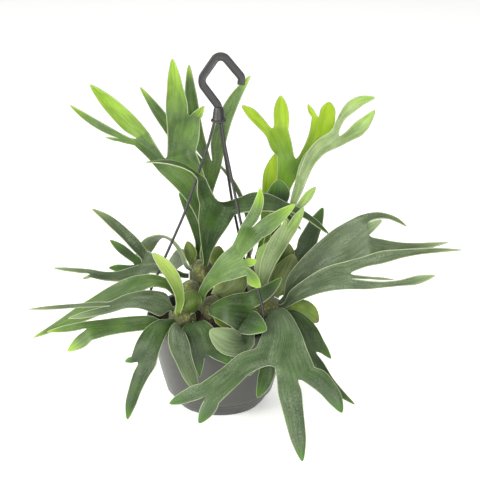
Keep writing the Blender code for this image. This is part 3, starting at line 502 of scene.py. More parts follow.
frondPlans = [
    {"node": "frond_tall_left", "crown": "crown_back", "skin": "green", "slot": "leaf_green",
     "spring": (0, 0, 1), "face": (0.05, -0.95, 0.15), "cup": 0.10, "blade":
     lobe((-27, 9, 121), (8, 14, 24, 36, 48), bow=(13, 0, 0), web=0.25, lobes=[
         lobe((-26, 12, 40), (16, 22), web=0.25, lobes=[
             lobe((-18, 2, 8), (8, 10), lobes=[
                 lobe((-17, 0, 4), (4, 3, 0), young=10),
                 lobe((-56, 8, 39), (9, 9, 7, 0), bow=(0, 0, -3), young=30)]),
             lobe((-59, 12, 66), (20, 19, 14, 0), young=150)]),
         lobe((0, -5, 45), (36, 38), lobes=[
             lobe((-6, -10, 69), (25, 19, 13, 0), young=70),
             lobe((11, 0, 16), (11, 7, 0), young=25)])])},
    {"node": "frond_centre_dark", "crown": "crown_back", "skin": "deep", "slot": "leaf_deep",
     "spring": (1, 3, 5), "face": (0.0, -0.95, 0.25), "cup": 0.10, "blade":
     lobe((14, 22, 76), (12, 22, 34, 42), bow=(-2, 0, 0), web=0.3, lobes=[
         lobe((-6, 14, 38), (17, 10), lobes=[
             lobe((-62, 20, 26), (11, 12, 10, 6, 0), bow=(4, 0, 8), face=(0, -0.2, 1), cup=0.05)]),
         lobe((68, -10, 3), (20, 26, 23, 16), bow=(0, 0, 10), face=(0.1, -0.7, 0.8), lobes=[
             lobe((51, 7, -33), (10, 8, 7, 0), bow=(0, 0, 4)),
             lobe((21, 0, -23), (7, 5, 0))])])},
    {"node": "frond_back_dark", "crown": "crown_back", "skin": "deep", "slot": "leaf_deep",
     "spring": (-3, -6, 10), "face": (0.1, -0.97, 0.1), "cup": 0.05, "blade":
     lobe((-22, 5, 85), (8, 12, 12, 0), bow=(8, 0, 0))},
    {"node": "frond_back_trident", "crown": "crown_back", "skin": "green", "slot": "leaf_green",
     "spring": (0.5, -6, 10), "face": (0.0, -0.97, 0.2), "cup": 0.10, "blade":
     lobe((6, -8, 107), (6, 8, 14, 28), web=0.4, lobes=[
         lobe((-69, -18, 95), (15, 14, 11, 0), bow=(-1, 0, 1)),
         lobe((-21, -14, 123), (15, 15, 13, 0), bow=(-5, 0, 0)),
         lobe((40, -12, 111), (17, 17, 13, 0), bow=(-10, 0, 3))])},
    {"node": "frond_back_arch", "crown": "crown_back", "skin": "grey", "slot": "leaf_grey",
     "spring": (-10, 5, 8), "face": (0.0, 0.6, 0.8), "cup": 0.05, "blade":
     lobe((-65, -27, -6), (7, 9, 12, 19, 20, 0), bow=(-2, 5, 42))},
    {"node": "frond_back_left", "crown": "crown_back", "skin": "deep", "slot": "leaf_deep",
     "spring": (-10, 2, 1), "face": (0.0, -0.85, 0.5), "cup": 0.06, "blade":
     lobe((-62, -5, 13), (8, 10, 15, 19), lobes=[
         lobe((-31, 3, 2), (8, 9, 0)),
         lobe((-32, -6, 24), (11, 10, 0))])},
    {"node": "frond_back_low_left", "crown": "crown_back", "skin": "green", "slot": "leaf_green",
     "spring": (-5, -10, 0), "face": (0.0, 0.7, 0.7), "cup": 0.06, "blade":
     lobe((-12, -45, 8), (8, 14, 24, 30), bow=(0, 0, 12), lobes=[
         lobe((-12, -30, -38), (18, 20, 12, 0)),
         lobe((8, -32, -45), (18, 20, 12, 0))])},
    {"node": "frond_back_low_mid", "crown": "crown_back", "skin": "blue", "slot": "leaf_blue",
     "spring": (5, -10, -1), "face": (0.0, 0.7, 0.7), "cup": 0.06, "blade":
     lobe((12, -42, 2), (8, 16, 26), bow=(0, 0, 14), lobes=[
         lobe((-14, -30, -42), (16, 18, 12, 0)),
         lobe((10, -28, -50), (16, 18, 12, 0))])},
    {"node": "frond_right_bright", "crown": "crown_back_right", "skin": "lime", "slot": "leaf_lime",
     "spring": (-1, -6, 10), "face": (0.05, -0.97, 0.15), "cup": 0.10, "blade":
     lobe((36, -13, 124), (7, 11, 15, 20, 35), lobes=[
         lobe((-10, 0, 31), (25, 27), web=0.3, lobes=[
             lobe((-34, 6, 38), (12, 11, 0), bow=(-2, 0, 5)),
             lobe((-2, -4, 43), (18, 18, 14, 0))]),
         lobe((26, -3, 49), (15, 20, 29), bow=(2, 0, 0), web=0.12, lobes=[
             lobe((-8, 0, 18), (7, 0)),
             lobe((3, -2, 25), (19, 17, 0))])])},
    {"node": "frond_back_short", "crown": "crown_back_right", "skin": "lime", "slot": "leaf_lime",
     "spring": (-3, -9, 9), "face": (-0.1, -0.97, 0.2), "cup": 0.08, "blade":
     lobe((22, -20, 135), (7, 9, 14, 19, 22, 0))},
    {"node": "frond_right_pale", "crown": "crown_back_right", "skin": "pale", "slot": "leaf_pale",
     "spring": (2, 4, 10), "face": (-0.45, -0.85, 0.3), "cup": 0.22, "blade":
     lobe((30, 2, 73), (7, 8, 9, 11), lobes=[
         lobe((12, -3, 36), (11, 14), lobes=[
             lobe((34, -11, 34), (4, 5, 4, 0), bow=(-5, 0, 10)),
             lobe((37, 3, 50), (15, 18, 21), bow=(-5, 0, 7), web=0.25, lobes=[
                 lobe((46, 4, 44), (9, 14, 11, 0), bow=(-5, 0, 10)),
                 lobe((42, 6, 40), (12, 17, 12, 0), bow=(3, 0, -3))])]),
         lobe((24, 4, 32), (9, 10, 0))])},
    {"node": "frond_right_dark", "crown": "crown_back_right", "skin": "blue", "slot": "leaf_blue",
     "spring": (10, -1, 3), "face": (0.0, -0.9, 0.4), "cup": 0.08, "blade":
     lobe((25, -4, 30), (8, 13, 26), bow=(2, 0, -3), lobes=[
         lobe((-12, -2, 4), (8, 6, 0)),
         lobe((25, -8, 57), (22, 19, 14, 0))])},
    {"node": "frond_back_crest", "crown": "crown_back_right", "skin": "deep", "slot": "leaf_deep",
     "spring": (3, -4, 10), "face": (0.0, -0.95, 0.3), "cup": -0.08, "blade":
     lobe((12, 11, 109), (7, 8, 10, 14, 20, 26, 0), bow=(4, 0, 0))},
    {"node": "frond_back_thin", "crown": "crown_back_right", "skin": "grey", "slot": "leaf_grey",
     "spring": (-10, -7, 8), "face": (-0.5, -0.8, 0.2), "cup": 0.0, "blade":
     lobe((-42, -22, 133), (6, 6, 6, 5, 0), bow=(16, 0, 8))},
    {"node": "frond_back_low_right", "crown": "crown_back_right", "skin": "green", "slot": "leaf_green",
     "spring": (-2, -10, -1), "face": (0.0, 0.7, 0.7), "cup": 0.06, "blade":
     lobe((0, -45, 0), (8, 15, 25, 30), bow=(0, 0, 14), lobes=[
         lobe((-16, -28, -44), (18, 20, 12, 0)),
         lobe((8, -30, -50), (18, 20, 12, 0))])},
    {"node": "frond_left_grey", "crown": "crown_left", "skin": "grey", "slot": "leaf_grey",
     "spring": (-10, -3, 8), "face": (0.1, -0.8, 0.6), "cup": 0.08, "blade":
     lobe((-41, -12, 22), (10, 15, 22, 32), bow=(0, 0, 8), web=0.15, lobes=[
         lobe((-62, 13, 0), (17, 13, 11, 10), bow=(0, 0, -6), lobes=[
             lobe((-10, 2, -3), (4, 3, 0)),
             lobe((-44, 8, 8), (6, 5, 4, 0))]),
         lobe((-60, 10, 62), (14, 13, 12, 8, 0), bow=(0, 0, 6))])},
    {"node": "frond_left_band", "crown": "crown_left", "skin": "green", "slot": "leaf_green",
     "spring": (-9, 8, 2), "face": (0.0, -0.65, 0.75), "cup": 0.08, "blade":
     lobe((-49, 14, 18), (13, 17, 23), bow=(0, 6, 12), lobes=[
         lobe((-120, 18, -59), (29, 25, 19, 10, 0), bow=(0, 0, -1))])},
    {"node": "frond_young_curl", "crown": "crown_front_left", "skin": "young", "slot": "leaf_lime",
     "spring": (-3, 10, 8), "face": (0.2, -0.95, 0.2), "cup": 0.10, "blade":
     lobe((-28, 12, 79), (9, 11, 14, 15, 13, 0), bow=(12, 5, 3))},
    {"node": "frond_left_front", "crown": "crown_front_left", "skin": "grey", "slot": "leaf_grey",
     "spring": (-8, 5, 10), "face": (0.1, -0.85, 0.55), "cup": -0.08, "blade":
     lobe((-67, 18, 12), (27, 26, 22, 18, 15, 13), bow=(0, 0, 10), lobes=[
         lobe((-51, 10, -8), (9, 8, 6, 0)),
         lobe((-94, 13, -2), (6, 5, 5, 4, 0))])},
    {"node": "frond_left_low", "crown": "crown_front_left", "skin": "green", "slot": "leaf_green",
     "spring": (-10, 3, -2), "face": (0.0, -0.8, 0.6), "cup": 0.06, "blade":
     lobe((-88, 27, 1), (15, 18, 19, 20, 23), bow=(0, 0, 3), lobes=[
         lobe((-27, 0, -21), (16, 12, 0)),
         lobe((-46, 9, -5), (9, 7, 0))])},
    {"node": "frond_left_drop", "crown": "crown_front_left", "skin": "deep", "slot": "leaf_deep",
     "spring": (-7, 10, 2), "face": (-0.25, -0.85, 0.45), "cup": -0.12, "blade":
     lobe((-33, 38, -33), (17, 25, 29, 31), bow=(-4, 3, 10), lobes=[
         lobe((-23, 17, -64), (18, 15, 12, 0), bow=(-3, 0, 0)),
         lobe((-11, 0, -4), (7, 0))])},
    {"node": "frond_front_left_grey", "crown": "crown_front_left", "skin": "grey", "slot": "leaf_grey",
     "spring": (-0.5, 10, -2), "face": (0.15, -0.85, 0.5), "cup": -0.08, "blade":
     lobe((20, 56, -60), (9, 16, 21, 23, 19, 16, 0), bow=(-12, 17, 30))},
    {"node": "frond_front_green", "crown": "crown_front_left", "skin": "deep", "slot": "leaf_deep",
     "spring": (8, 10, -1), "face": (0.1, -0.85, 0.5), "cup": -0.05, "foot": 7, "blade":
     lobe((20, 40, -15), (25, 34, 40), bow=(-4, 5, 13), web=0.1, lobes=[
         lobe((21, 10, -18), (20, 12, 0)),
         lobe((2, 8, -24), (12, 7, 0))])},
    {"node": "frond_centre_front", "crown": "crown_centre", "skin": "green", "slot": "leaf_green",
     "spring": (-10, 3, 4), "face": (-0.15, -0.9, 0.45), "cup": -0.10, "blade":
     lobe((45, 31, 70), (9, 10, 13, 19, 30, 38), bow=(-13, 0, 1), web=0.14, lobes=[
         lobe((17, -10, 22), (28,), lobes=[
             lobe((16, 3, 48), (13, 12, 9, 0), bow=(5, 0, 0), young=30),
             lobe((44, -3, 35), (19, 16, 11, 0), young=30)]),
         lobe((17, 1, 5), (10, 0)),
         lobe((18, 7, -16), (14, 0))])},
    {"node": "frond_centre_gloss", "crown": "crown_centre", "skin": "deep", "slot": "leaf_deep",
     "spring": (-2, 10, 4), "face": (0.1, -0.75, 0.65), "cup": -0.10, "blade":
     lobe((37, 16, 5), (22, 32, 41, 50), bow=(0, 6, 6), web=0.2, lobes=[
         lobe((41, -13, 22), (20, 17, 12, 0), bow=(0, 0, -6)),
         lobe((29, 23, -3), (34, 28, 18, 0))])},
    {"node": "frond_front_big", "crown": "crown_right", "skin": "blue", "slot": "leaf_blue",
     "spring": (1.5, 10, 3.5), "face": (0.0, -0.8, 0.6), "cup": -0.10, "blade":
     lobe((12, 63, -18), (22, 29, 35, 45, 56), bow=(4, 0, 10), web=0.42, lobes=[
         lobe((5, 22, -20), (44,), web=0.2, lobes=[
             lobe((40, 18, -43), (23, 20, 16, 0), bow=(4, 0, 4)),
             lobe((17, 55, -80), (26, 23, 20, 15, 0))]),
         lobe((-62, 43, -37), (25, 26, 30), web=0.2, lobes=[
             lobe((-17, 9, -26), (17, 16, 11, 0)),
             lobe((-40, 6, -16), (17, 15, 11, 0))])])},
    {"node": "frond_front_grey", "crown": "crown_right", "skin": "grey", "slot": "leaf_grey",
     "spring": (-7, 9, 3), "face": (0.0, -0.85, 0.5), "cup": -0.08, "blade":
     lobe((-14, 60, -14), (9, 13, 18), bow=(-2, 0, 10), lobes=[
         lobe((-41, 11, 21), (26, 30, 30, 22, 0), bow=(2, 6, -4))])},
    {"node": "frond_front_narrow", "crown": "crown_right", "skin": "deep", "slot": "leaf_deep",
     "spring": (0, 10, -1), "face": (0.0, -0.8, 0.6), "cup": -0.08, "blade":
     lobe((-2, 65, -26), (8, 12, 16, 20), bow=(7, 0, 13), lobes=[
         lobe((-13, 10, -39), (18, 17, 12, 0), bow=(2, 0, 0)),
         lobe((-13, 4, -18), (6, 0))])},
    {"node": "frond_right_drop", "crown": "crown_right", "skin": "deep", "slot": "leaf_deep",
     "spring": (10, 5, 1), "face": (0.15, -0.85, 0.5), "cup": -0.06, "blade":
     lobe((35, 36, -29), (15, 23, 29, 32), bow=(2, 0, 10), web=0.2, lobes=[
         lobe((13, 3, -16), (11, 7, 0)),
         lobe((55, 23, -59), (17, 12, 8, 0), bow=(-2, 0, -6))])},
    {"node": "frond_right_upper", "crown": "crown_right", "skin": "grey", "slot": "leaf_grey",
     "spring": (9, 1, 7), "face": (-0.1, -0.8, 0.6), "cup": 0.12, "blade":
     lobe((93, 35, 94), (25, 34, 41, 47, 50), bow=(-3, 0, 9), web=0.14, lobes=[
         lobe((55, -12, -11), (10, 8, 6, 5, 0), bow=(0, 0, 10)),
         lobe((22, 0, 14), (11, 0)),
         lobe((90, 11, 10), (20, 13, 9, 6, 0), bow=(0, 0, -3))])},
    {"node": "frond_right_lower", "crown": "crown_right", "skin": "grey", "slot": "leaf_grey",
     "spring": (10, 5, 5), "face": (-0.1, -0.93, 0.3), "cup": 0.10, "blade":
     lobe((75, 50, 59), (15, 20, 25, 29, 32), bow=(0, 0, 8), lobes=[
         lobe((127, 8, 24), (12, 14, 10, 7, 5, 0), bow=(-5, 0, 6)),
         lobe((52, 0, -4), (4, 3, 3, 0)),
         lobe((94, 12, 15), (10, 7, 7, 10, 0), bow=(0, 0, -5))])},
    {"node": "frond_right_small", "crown": "crown_right", "skin": "lime", "slot": "leaf_lime",
     "spring": (10, -3, 5), "face": (0.0, -0.7, 0.7), "cup": 0.05, "blade":
     lobe((42, 3, 15), (7, 8, 8, 0), bow=(0, 0, 4))},
    {"node": "frond_pale_upright", "crown": "crown_right", "skin": "pale", "slot": "leaf_pale",
     "spring": (-3, 1, 10), "face": (-0.55, -0.8, 0.3), "cup": 0.20, "blade":
     lobe((28, -10, 79), (12, 17, 21, 23, 20), bow=(-9, 0, 0), lobes=[
         lobe((3, 0, 8), (6, 4, 0)),
         lobe((16, -3, 28), (13, 10, 0))])},
    {"node": "frond_pale_left", "crown": "crown_right", "skin": "pale", "slot": "leaf_pale",
     "spring": (-6, -2, 10), "face": (-0.3, -0.9, 0.3), "cup": 0.10, "blade":
     lobe((13, -23, 60), (6, 8, 9, 12, 16, 0), bow=(-9, 0, 0))},
]

shieldPlans = [
    {"node": "shield_left", "crown": "crown_front_left", "skin": "shieldGreen", "slot": "shield_green",
     "spring": (8, 7, 9), "face": (0.1, -0.6, 0.8), "cup": -0.20, "foot": 8, "blade":
     lobe((2, -13, 22), (20, 24, 20, 0), bow=(0, 8, 3))},
    {"node": "shield_front", "crown": "crown_centre", "skin": "shieldGreen", "slot": "shield_green",
     "spring": (2, 10, 1), "face": (0.1, -0.35, 0.95), "cup": -0.05, "foot": 8, "blade":
     lobe((13, 20, -8), (13, 16, 13, 0), bow=(0, 0, 2))},
    {"node": "shield_centre", "crown": "crown_centre", "skin": "shieldPapery", "slot": "shield_papery",
     "spring": (2, -2, 10), "face": (0.0, -0.85, 0.5), "cup": -0.20, "foot": 12, "blade":
     lobe((24, -6, 34), (24, 38, 34, 0), bow=(3, 4, -2))},
    {"node": "shield_right", "crown": "crown_right", "skin": "shieldPapery", "slot": "shield_papery",
     "spring": (5, -4, 10), "face": (-0.2, -0.85, 0.4), "cup": -0.12, "foot": 12, "blade":
     lobe((22, -12, 48), (24, 32, 30, 20, 0), bow=(2, 2, 0))},
    {"node": "shield_right_low", "crown": "crown_right", "skin": "shieldFresh", "slot": "shield_green",
     "spring": (10, -1, -2), "face": (0.1, -0.7, 0.7), "cup": -0.15, "foot": 7, "blade":
     lobe((42, 12, -7), (16, 24, 27, 22, 0), bow=(0, 0, 10))},
    {"node": "shield_back_right", "crown": "crown_back_right", "skin": "shieldGreen", "slot": "shield_green",
     "spring": (7, 3, 6), "face": (0.0, -0.9, 0.4), "cup": -0.10, "foot": 10, "blade":
     lobe((15, -4, 40), (20, 24, 20, 0), bow=(3, 0, 0))},
    {"node": "shield_back", "crown": "crown_back", "skin": "shieldGreen", "slot": "shield_green",
     "spring": (9, 2, 8), "face": (0.0, -0.8, 0.5), "cup": -0.10, "foot": 9, "blade":
     lobe((6, -3, 26), (16, 18, 0))},
    {"node": "shield_back_left", "crown": "crown_back", "skin": "shieldGreen", "slot": "shield_green",
     "spring": (-7, 0, 10), "face": (0.0, -0.8, 0.5), "cup": -0.10, "foot": 8, "blade":
     lobe((-6, -5, 26), (14, 13, 0))},
]

for frondPlan in frondPlans + shieldPlans:
    growFrond(frondPlan)
print("fronds made,", len(frondPlans + shieldPlans))


# Pot, saucer

def plasticMaterial(name, color, roughness, grainSize, grain):
    made, tree, shader = principled(name, **{"Specular IOR Level": 0.5})
    where = place(tree)
    mottled = cloud(tree, where, 14.0, 3.0)
    dark, light = [[c * share for c in color] + [1] for share in (0.85, 1.12)]
    tree.links.new(blendColor(tree, mottled, dark, light), shader.inputs["Base Color"])
    fine = cloud(tree, where, grainSize, 3.0, 0.6)
    dust = span(tree, cloud(tree, where, 55.0, 4.0), 0.5, 0.75)
    tree.links.new(calc(tree, "ADD", roughness, calc(tree, "MULTIPLY", dust, 0.12)),
                   shader.inputs["Roughness"])
    bump(tree, shader, fine, grain, 0.0003)
    return made


potPlastic = plasticMaterial("potPlastic", (0.060, 0.061, 0.056), 0.38, 1400.0, 0.12)
saucerPlastic = plasticMaterial("saucerPlastic", (0.034, 0.034, 0.031), 0.36, 1400.0, 0.12)
hangerPlastic = plasticMaterial("hangerPlastic", (0.020, 0.020, 0.022), 0.42, 900.0, 0.10)


def turnedForm(profile, steps):
    bm = bmesh.new()
    points = [bm.verts.new((r, 0, z)) for r, z in profile]
    edges = [bm.edges.new(pair) for pair in zip(points, points[1:])]
    bmesh.ops.spin(bm, geom=points + edges, cent=(0, 0, 0), axis=(0, 0, 1), angle=math.tau,
                   steps=steps, use_merge=True)
    bmesh.ops.remove_doubles(bm, verts=bm.verts, dist=0.001)
    bmesh.ops.recalc_face_normals(bm, faces=bm.faces)
    return bm


potPlan = {"steps": 96, "wallFoot": (62.0, 17.3), "wallTop": (76.5, 95.0), "wallSteps": 14,
           "wall": 2.2, "inside": 19.6, "footRound": 0.5,
           "foot": [(0, 2.3), (44.8, 2.3), (45.7, 2.7), (57.3, 17.3), (61.6, 17.3)],
           "flange": [(82.6, 96.4), (84.0, 97.4), (84.6, 99), (85, 105.6), (84.7, 107.2), (83.6, 108),
                      (79.6, 108), (78.6, 107.4), (78.2, 106)],
           "floor": [(54.8, 17.6), (43.6, 4.3), (0, 4.3)]}


def potWall(inwards, low):  # a quarter wave from the foot of the wall to its top
    (footR, footZ), (topR, topZ) = potPlan["wallFoot"], potPlan["wallTop"]
    line = []
    for i in range(potPlan["wallSteps"] + 1):
        z = low + (topZ - low) * i / potPlan["wallSteps"]
        rise = math.sin((z - footZ) / (topZ - footZ) * math.pi / 2)
        line.append((footR + (topR - footR) * rise - inwards, z))
    return line


def makePot():
    foot = potPlan["wallFoot"][1] + potPlan["footRound"]
    outside = potPlan["foot"] + potWall(0, foot) + potPlan["flange"]
    inside = potWall(potPlan["wall"], potPlan["inside"])[::-1] + potPlan["floor"]
    pot = smooth(pieceFrom(turnedForm(outside + inside, potPlan["steps"]), "pot_body"), 35)
    return link(pot, "pot", "pot_grey", potPlastic)


saucerPlan = {"steps": 96,
              "profile": [(0, 0.7), (44, 0.7), (45, 0), (48, 0), (48.8, 0.4), (49.3, 1.2), (53.2, 5.4),
                          (56.6, 11), (58.7, 14.2), (60, 15.6), (60, 16.5), (59.5, 17), (58.9, 17),
                          (58.5, 16.4), (54.6, 10.5), (46.8, 2), (0, 2)]}


def makeSaucer():
    bm = turnedForm(saucerPlan["profile"], saucerPlan["steps"])
    saucer = smooth(pieceFrom(bm, "saucer_dish"), 35)
    return link(saucer, "saucer", "pot_grey", saucerPlastic)


makePot()
makeSaucer()
print("pot and saucer made")


# Hanger

# A line's corners are (out, up, bend radius)
hookPlan = {"width": 8.4, "depth": 7.0, "wall": 1.2, "slope": 1.1, "recess": 0.8, "trim": 0.6,
            "bendStep": 6, "line": [(0, 346, 0), (0, 359, 12), (-21, 388, 12), (2, 421.5, 8.5),
                                    (26, 392, 6), (25, 384, 0)],
            "collar": [(0, 0), (7.6, 0), (8.5, 0.6), (8.8, 1.6), (8.6, 2.4), (7.3, 3.3), (6.8, 5),
                       (6.2, 11), (5.4, 15), (4.6, 17), (0, 17)]}


def roundedLine(corners, bendStep):
    places = [Vector((out, 0, up)) for out, up, bend in corners]
    line = [places[0]]
    for i in range(1, len(corners) - 1):
        back = (places[i - 1] - places[i]).normalized()
        ahead = (places[i + 1] - places[i]).normalized()
        half, bend = back.angle(ahead) / 2, corners[i][2]
        middle = places[i] + (back + ahead).normalized() * bend / math.sin(half)
        spoke = places[i] + back * bend / math.tan(half) - middle
        turn = math.pi - half * 2
        steps = max(2, math.ceil(turn / math.radians(bendStep)))
        for k in range(steps + 1):
            line.append(middle + Matrix.Rotation(turn * k / steps, 3, ahead.cross(back)) @ spoke)
    return line + [places[-1]]


def makeHook():
    front = Vector((0, -hookPlan["depth"] / 2, 0))
    path = roundedLine(hookPlan["line"], hookPlan["bendStep"])
    bm = bmesh.new()
    side = Vector((hookPlan["width"] / 2, 0, 0))
    row = [bm.verts.new(path[0] - side + front), bm.verts.new(path[0] + side + front)]
    bm.edges.new(row)
    for i in range(1, len(path)):
        toward = (path[min(i + 1, len(path) - 1)] - path[i - 1]).normalized()
        side = Vector((0, 1, 0)).cross(toward) * hookPlan["width"] / 2
        row = extendRow(bm, row)
        row[0].co = path[i] - side + front
        row[1].co = path[i] + side + front
    bmesh.ops.recalc_face_normals(bm, faces=bm.faces)
    sheet = list(bm.faces)
    if sheet[0].normal.y > 0:
        bmesh.ops.reverse_faces(bm, faces=sheet)
    whole = bmesh.ops.extrude_face_region(bm, geom=sheet)
    back = [g for g in whole["geom"] if isinstance(g, bmesh.types.BMFace)]
    bmesh.ops.translate(bm, verts=list({v for f in back for v in f.verts}), vec=front * -2)
    bmesh.ops.recalc_face_normals(bm, faces=bm.faces)
    for sign in (-1, 1):
        flat = [f for f in bm.faces if f.normal.y * sign > 0.9]
        for inwards in (hookPlan["wall"], hookPlan["slope"]):
            bmesh.ops.inset_region(bm, faces=flat, thickness=inwards, depth=0, use_even_offset=True)
        bmesh.ops.translate(bm, verts=list({v for f in flat for v in f.verts}),
                            vec=(0, -sign * hookPlan["recess"], 0))
    bmesh.ops.recalc_face_normals(bm, faces=bm.faces)
    hook = smooth(pieceFrom(bm, "hook_loop"), 30)
    trim = hook.modifiers.new("trim", "BEVEL")
    trim.width = hookPlan["trim"] * mm
    trim.segments = 3
    trim.limit_method = "ANGLE"
    link(hook, "hook", "pot_grey", hangerPlastic)
    low = frameMm("hook")[0].z
    bell = [(r, low + z) for r, z in hookPlan["collar"]]
    collar = smooth(pieceFrom(turnedForm(bell, 40), "hook_collar"), 35)
    return link(collar, None, "pot_grey", hangerPlastic)


legPlan = {"radius": 1.6, "sides": 12, "bendStep": 3,  # heights are from the collar's lower edge
           "angles": {"leg_left": 188.0, "leg_front": -52.0, "leg_back": 68.0},
           "line": [(5, -0.3, 0), (12, -27, 40), (40, -108, 200), (81.5, -202, 40), (81.5, -230, 0)],
           "clip": {"size": (4.4, 7.0, 5.0), "out": 81.6, "gap": 0.3, "round": 0.8}}


def makeLeg(node, angle):
    top = frameMm("hook")[0].z
    corners = [(out, top + up, bend) for out, up, bend in legPlan["line"]]
    path = roundedLine(corners, legPlan["bendStep"])
    turn = Matrix.Rotation(math.radians(angle), 4, "Z")
    bm = bmesh.new()
    ring = bmesh.ops.create_circle(bm, cap_ends=False, radius=legPlan["radius"],
                                   segments=legPlan["sides"])["verts"]
    offsets = [v.co.copy() for v in ring]
    edges = list({e for v in ring for e in v.link_edges})
    face = bmesh.ops.contextual_create(bm, geom=edges)["faces"][0]
    for v, offset in zip(ring, offsets):
        v.co = path[0] + offset
    for i in range(1, len(path)):
        toward = (path[min(i + 1, len(path) - 1)] - path[i - 1]).normalized()
        face = bmesh.ops.extrude_discrete_faces(bm, faces=[face])["faces"][0]
        tilt = Vector((0, 0, -1)).rotation_difference(toward).to_matrix()
        for loop, offset in zip(face.loops, offsets):
            loop.vert.co = path[i] + tilt @ offset
    bmesh.ops.transform(bm, matrix=turn, verts=bm.verts)
    bmesh.ops.recalc_face_normals(bm, faces=bm.faces)
    leg = smooth(pieceFrom(bm, node + "_rod"), 40)
    link(leg, node, "pot_grey", hangerPlastic)
    clipForm, clipPlan = bmesh.new(), legPlan["clip"]
    bmesh.ops.create_cube(clipForm, size=1.0)
    bmesh.ops.scale(clipForm, vec=clipPlan["size"], verts=clipForm.verts)
    bmesh.ops.bevel(clipForm, geom=list(clipForm.edges), offset=clipPlan["round"], offset_type="OFFSET",
                    segments=3, profile=0.5, affect="EDGES", material=-1)
    middle = frameMm("pot")[1].z + clipPlan["gap"] + clipPlan["size"][2] / 2
    bmesh.ops.translate(clipForm, vec=(clipPlan["out"], 0, middle), verts=clipForm.verts)
    bmesh.ops.transform(clipForm, matrix=turn, verts=clipForm.verts)
    clip = smooth(pieceFrom(clipForm, node + "_clip"), 40)
    return link(clip, None, "pot_grey", hangerPlastic)


makeHook()
for legNode, legAngle in legPlan["angles"].items():
    makeLeg(legNode, legAngle)
print("hanger made")


# Peat and crowns

def peatMaterial():
    made, tree, shader = principled("peat", **{"Roughness": 0.95, "Specular IOR Level": 0.2})
    where = place(tree)
    grains = cells(tree, where, 420.0)
    lumps = cloud(tree, where, 120.0, 4.0, 0.7)
    dark = blendColor(tree, span(tree, lumps, 0.35, 0.7), (0.010, 0.007, 0.005, 1), (0.060, 0.040, 0.025, 1))
    tree.links.new(blendColor(tree, span(tree, grains, 0.5, 0.1, 0.0, 0.35), dark, (0.11, 0.075, 0.045, 1)),
                   shader.inputs["Base Color"])
    bump(tree, shader, calc(tree, "ADD", grains, lumps), 0.9, 0.0015)
    return made


def rhizomeMaterial():
    made, tree, shader = principled("rhizomeFelt", **{"Roughness": 0.9, "Sheen Weight": 0.3})
    where = place(tree)
    scales = cells(tree, where, 260.0)
    tint = cloud(tree, where, 70.0, 3.0)
    base = blendColor(tree, span(tree, tint, 0.35, 0.65), (0.060, 0.085, 0.020, 1), (0.20, 0.24, 0.06, 1))
    tree.links.new(blendColor(tree, span(tree, scales, 0.15, 0.6, 0.0, 0.6), base, (0.05, 0.035, 0.018, 1)),
                   shader.inputs["Base Color"])
    bump(tree, shader, scales, 0.8, 0.0012)
    return made


peat = peatMaterial()
rhizomeFelt = rhizomeMaterial()
moundPlan = {"steps": 72, "rings": 12, "edgeRadius": 72.0, "edge": 98.0, "top": 133.0,
             "foot": [(0, 4.7), (43, 4.7), (54.4, 18.1)], "inside": 20.2, "wallGap": 0.6,
             "rough": 1.6, "lump": 5.5, "crumb": 2.2, "crumbShare": 0.6, "fade": 6, "sink": 0.6}
crownPlan = {"finish": 5, "knob": 6.0, "knobHeight": 0.8, "scale": 2.0, "scaleHeight": 0.4}


def makeMound():
    plan = moundPlan
    profile = plan["foot"] + potWall(potPlan["wall"] + plan["wallGap"], plan["inside"])
    for i in range(plan["rings"] + 1):
        rise = math.sin(math.pi / 2 * i / plan["rings"])
        profile.append((plan["edgeRadius"] * (1 - i / plan["rings"]),
                        plan["edge"] + (plan["top"] - plan["edge"]) * rise))
    bm = turnedForm(profile, plan["steps"])
    upper = [f for f in bm.faces if f.calc_center_median().z > plan["edge"]]
    bmesh.ops.subdivide_edges(bm, edges=list({e for f in upper for e in f.edges}), cuts=1,
                              use_grid_fill=True)
    for v in bm.verts:
        above = v.co.z - plan["edge"] - 1
        if above > 0:
            rise = noise.noise(v.co / plan["lump"])
            rise += noise.noise(v.co / plan["crumb"]) * plan["crumbShare"]
            v.co.z += rise * plan["rough"] * min(1.0, above / plan["fade"]) - plan["sink"]
    bmesh.ops.recalc_face_normals(bm, faces=bm.faces)
    mound = pieceFrom(bm, "root_ball_peat")
    mound.data.shade_smooth()
    return link(mound, "root_ball", "peat", peat)


def makeCrown(node):
    low, high = frameMm(node)
    centre, half = (low + high) / 2, (high - low) / 2
    bm = bmesh.new()
    bmesh.ops.create_icosphere(bm, subdivisions=crownPlan["finish"], radius=1.0)
    bmesh.ops.scale(bm, vec=half, verts=bm.verts)
    for v in bm.verts:
        rise = noise.noise(v.co / crownPlan["knob"]) * crownPlan["knobHeight"]
        rise += (noise.noise(v.co / crownPlan["scale"]) - 1) * crownPlan["scaleHeight"]
        v.co += v.co.normalized() * rise
    bmesh.ops.translate(bm, vec=centre, verts=bm.verts)
    crown = pieceFrom(bm, node + "_rhizome")
    crown.data.shade_smooth()
    return link(crown, node, "rhizome", rhizomeFelt)


makeMound()
for crownNode in [n for n in sorted(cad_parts) if n.startswith("crown_")]:
    makeCrown(crownNode)
print("peat and crowns made")


# Floor, light and camera

floorPlan = {"half": 8000, "glow": 0.42, "colours": [(0.88, 0.88, 0.875, 1), (0.91, 0.91, 0.905, 1)]}


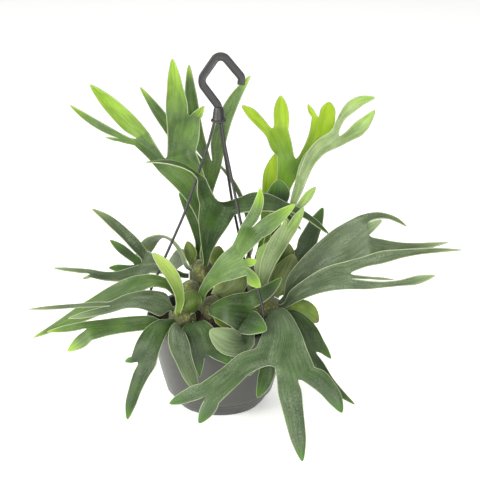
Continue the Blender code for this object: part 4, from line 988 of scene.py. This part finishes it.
def makeFloor():
    bm = bmesh.new()
    bmesh.ops.create_grid(bm, x_segments=2, y_segments=2, size=floorPlan["half"])
    floor = pieceFrom(bm, "floor")
    made, tree, shader = principled("paleFloor", **{"Roughness": 0.9, "Specular IOR Level": 0.1})
    shade = cloud(tree, place(tree), 3.0)
    tree.links.new(blendColor(tree, shade, *floorPlan["colours"]), shader.inputs["Base Color"])
    shader.inputs["Emission Color"].default_value = (1, 1, 1, 1)
    shader.inputs["Emission Strength"].default_value = floorPlan["glow"]
    floor.data.materials.append(made)
    bpy.context.scene.collection.objects.link(floor)


lightPlan = {"world": 0.32, "seen": 1.0, "colour": (1.0, 0.985, 0.93), "aim": (0, 0, 0.2),
             "lamps": [{"name": "leftSoftbox", "at": (-1.7, -1.2, 1.1), "size": 1.4, "watts": 66},
                       {"name": "topSoftbox", "at": (0.1, 0.6, 2.0), "size": 1.8, "watts": 26},
                       {"name": "frontSoftbox", "at": (0.5, -2.4, 0.9), "size": 1.4, "watts": 34}]}


def makeLights():
    scene = bpy.context.scene
    world = bpy.data.worlds.new("paleRoom")
    world.use_nodes = True
    tree = world.node_tree
    back = tree.nodes["Background"]
    back.inputs["Color"].default_value = (1, 1, 1, 1)
    seen = put(tree, "ShaderNodeLightPath").outputs["Is Camera Ray"]
    seen = calc(tree, "MULTIPLY", seen, lightPlan["seen"])  # the room looks white, but lights gently
    tree.links.new(calc(tree, "MAXIMUM", seen, lightPlan["world"]), back.inputs["Strength"])
    scene.world = world
    aim = Vector(lightPlan["aim"])
    for plan in lightPlan["lamps"]:
        lamp = bpy.data.lights.new(plan["name"], "AREA")
        lamp.shape = "SQUARE"
        lamp.size = plan["size"]
        lamp.energy = plan["watts"]
        lamp.color = lightPlan["colour"]
        item = bpy.data.objects.new(plan["name"], lamp)
        item.location = plan["at"]
        item.rotation_euler = (aim - Vector(plan["at"])).to_track_quat("-Z", "Y").to_euler()
        scene.collection.objects.link(item)
    scene.view_settings.view_transform = "Standard"
    scene.view_settings.look = "None"


cameraPlan = {"target": (24.0, 0.0, 199.6), "elevation": 20.0, "distance": 2000.0, "lens": 130.43}


def makeCamera():
    data = bpy.data.cameras.new("viewCamera")
    data.sensor_width = 36.0
    data.lens = cameraPlan["lens"]
    item = bpy.data.objects.new("viewCamera", data)
    tilt = math.radians(cameraPlan["elevation"])
    ahead = Vector((0, math.cos(tilt), -math.sin(tilt)))
    item.location = (Vector(cameraPlan["target"]) - ahead * cameraPlan["distance"]) * mm
    item.rotation_euler = (math.pi / 2 - tilt, 0, 0)
    bpy.context.scene.collection.objects.link(item)
    bpy.context.scene.camera = item


makeFloor()
makeLights()
makeCamera()
print("floor, lights and camera made")
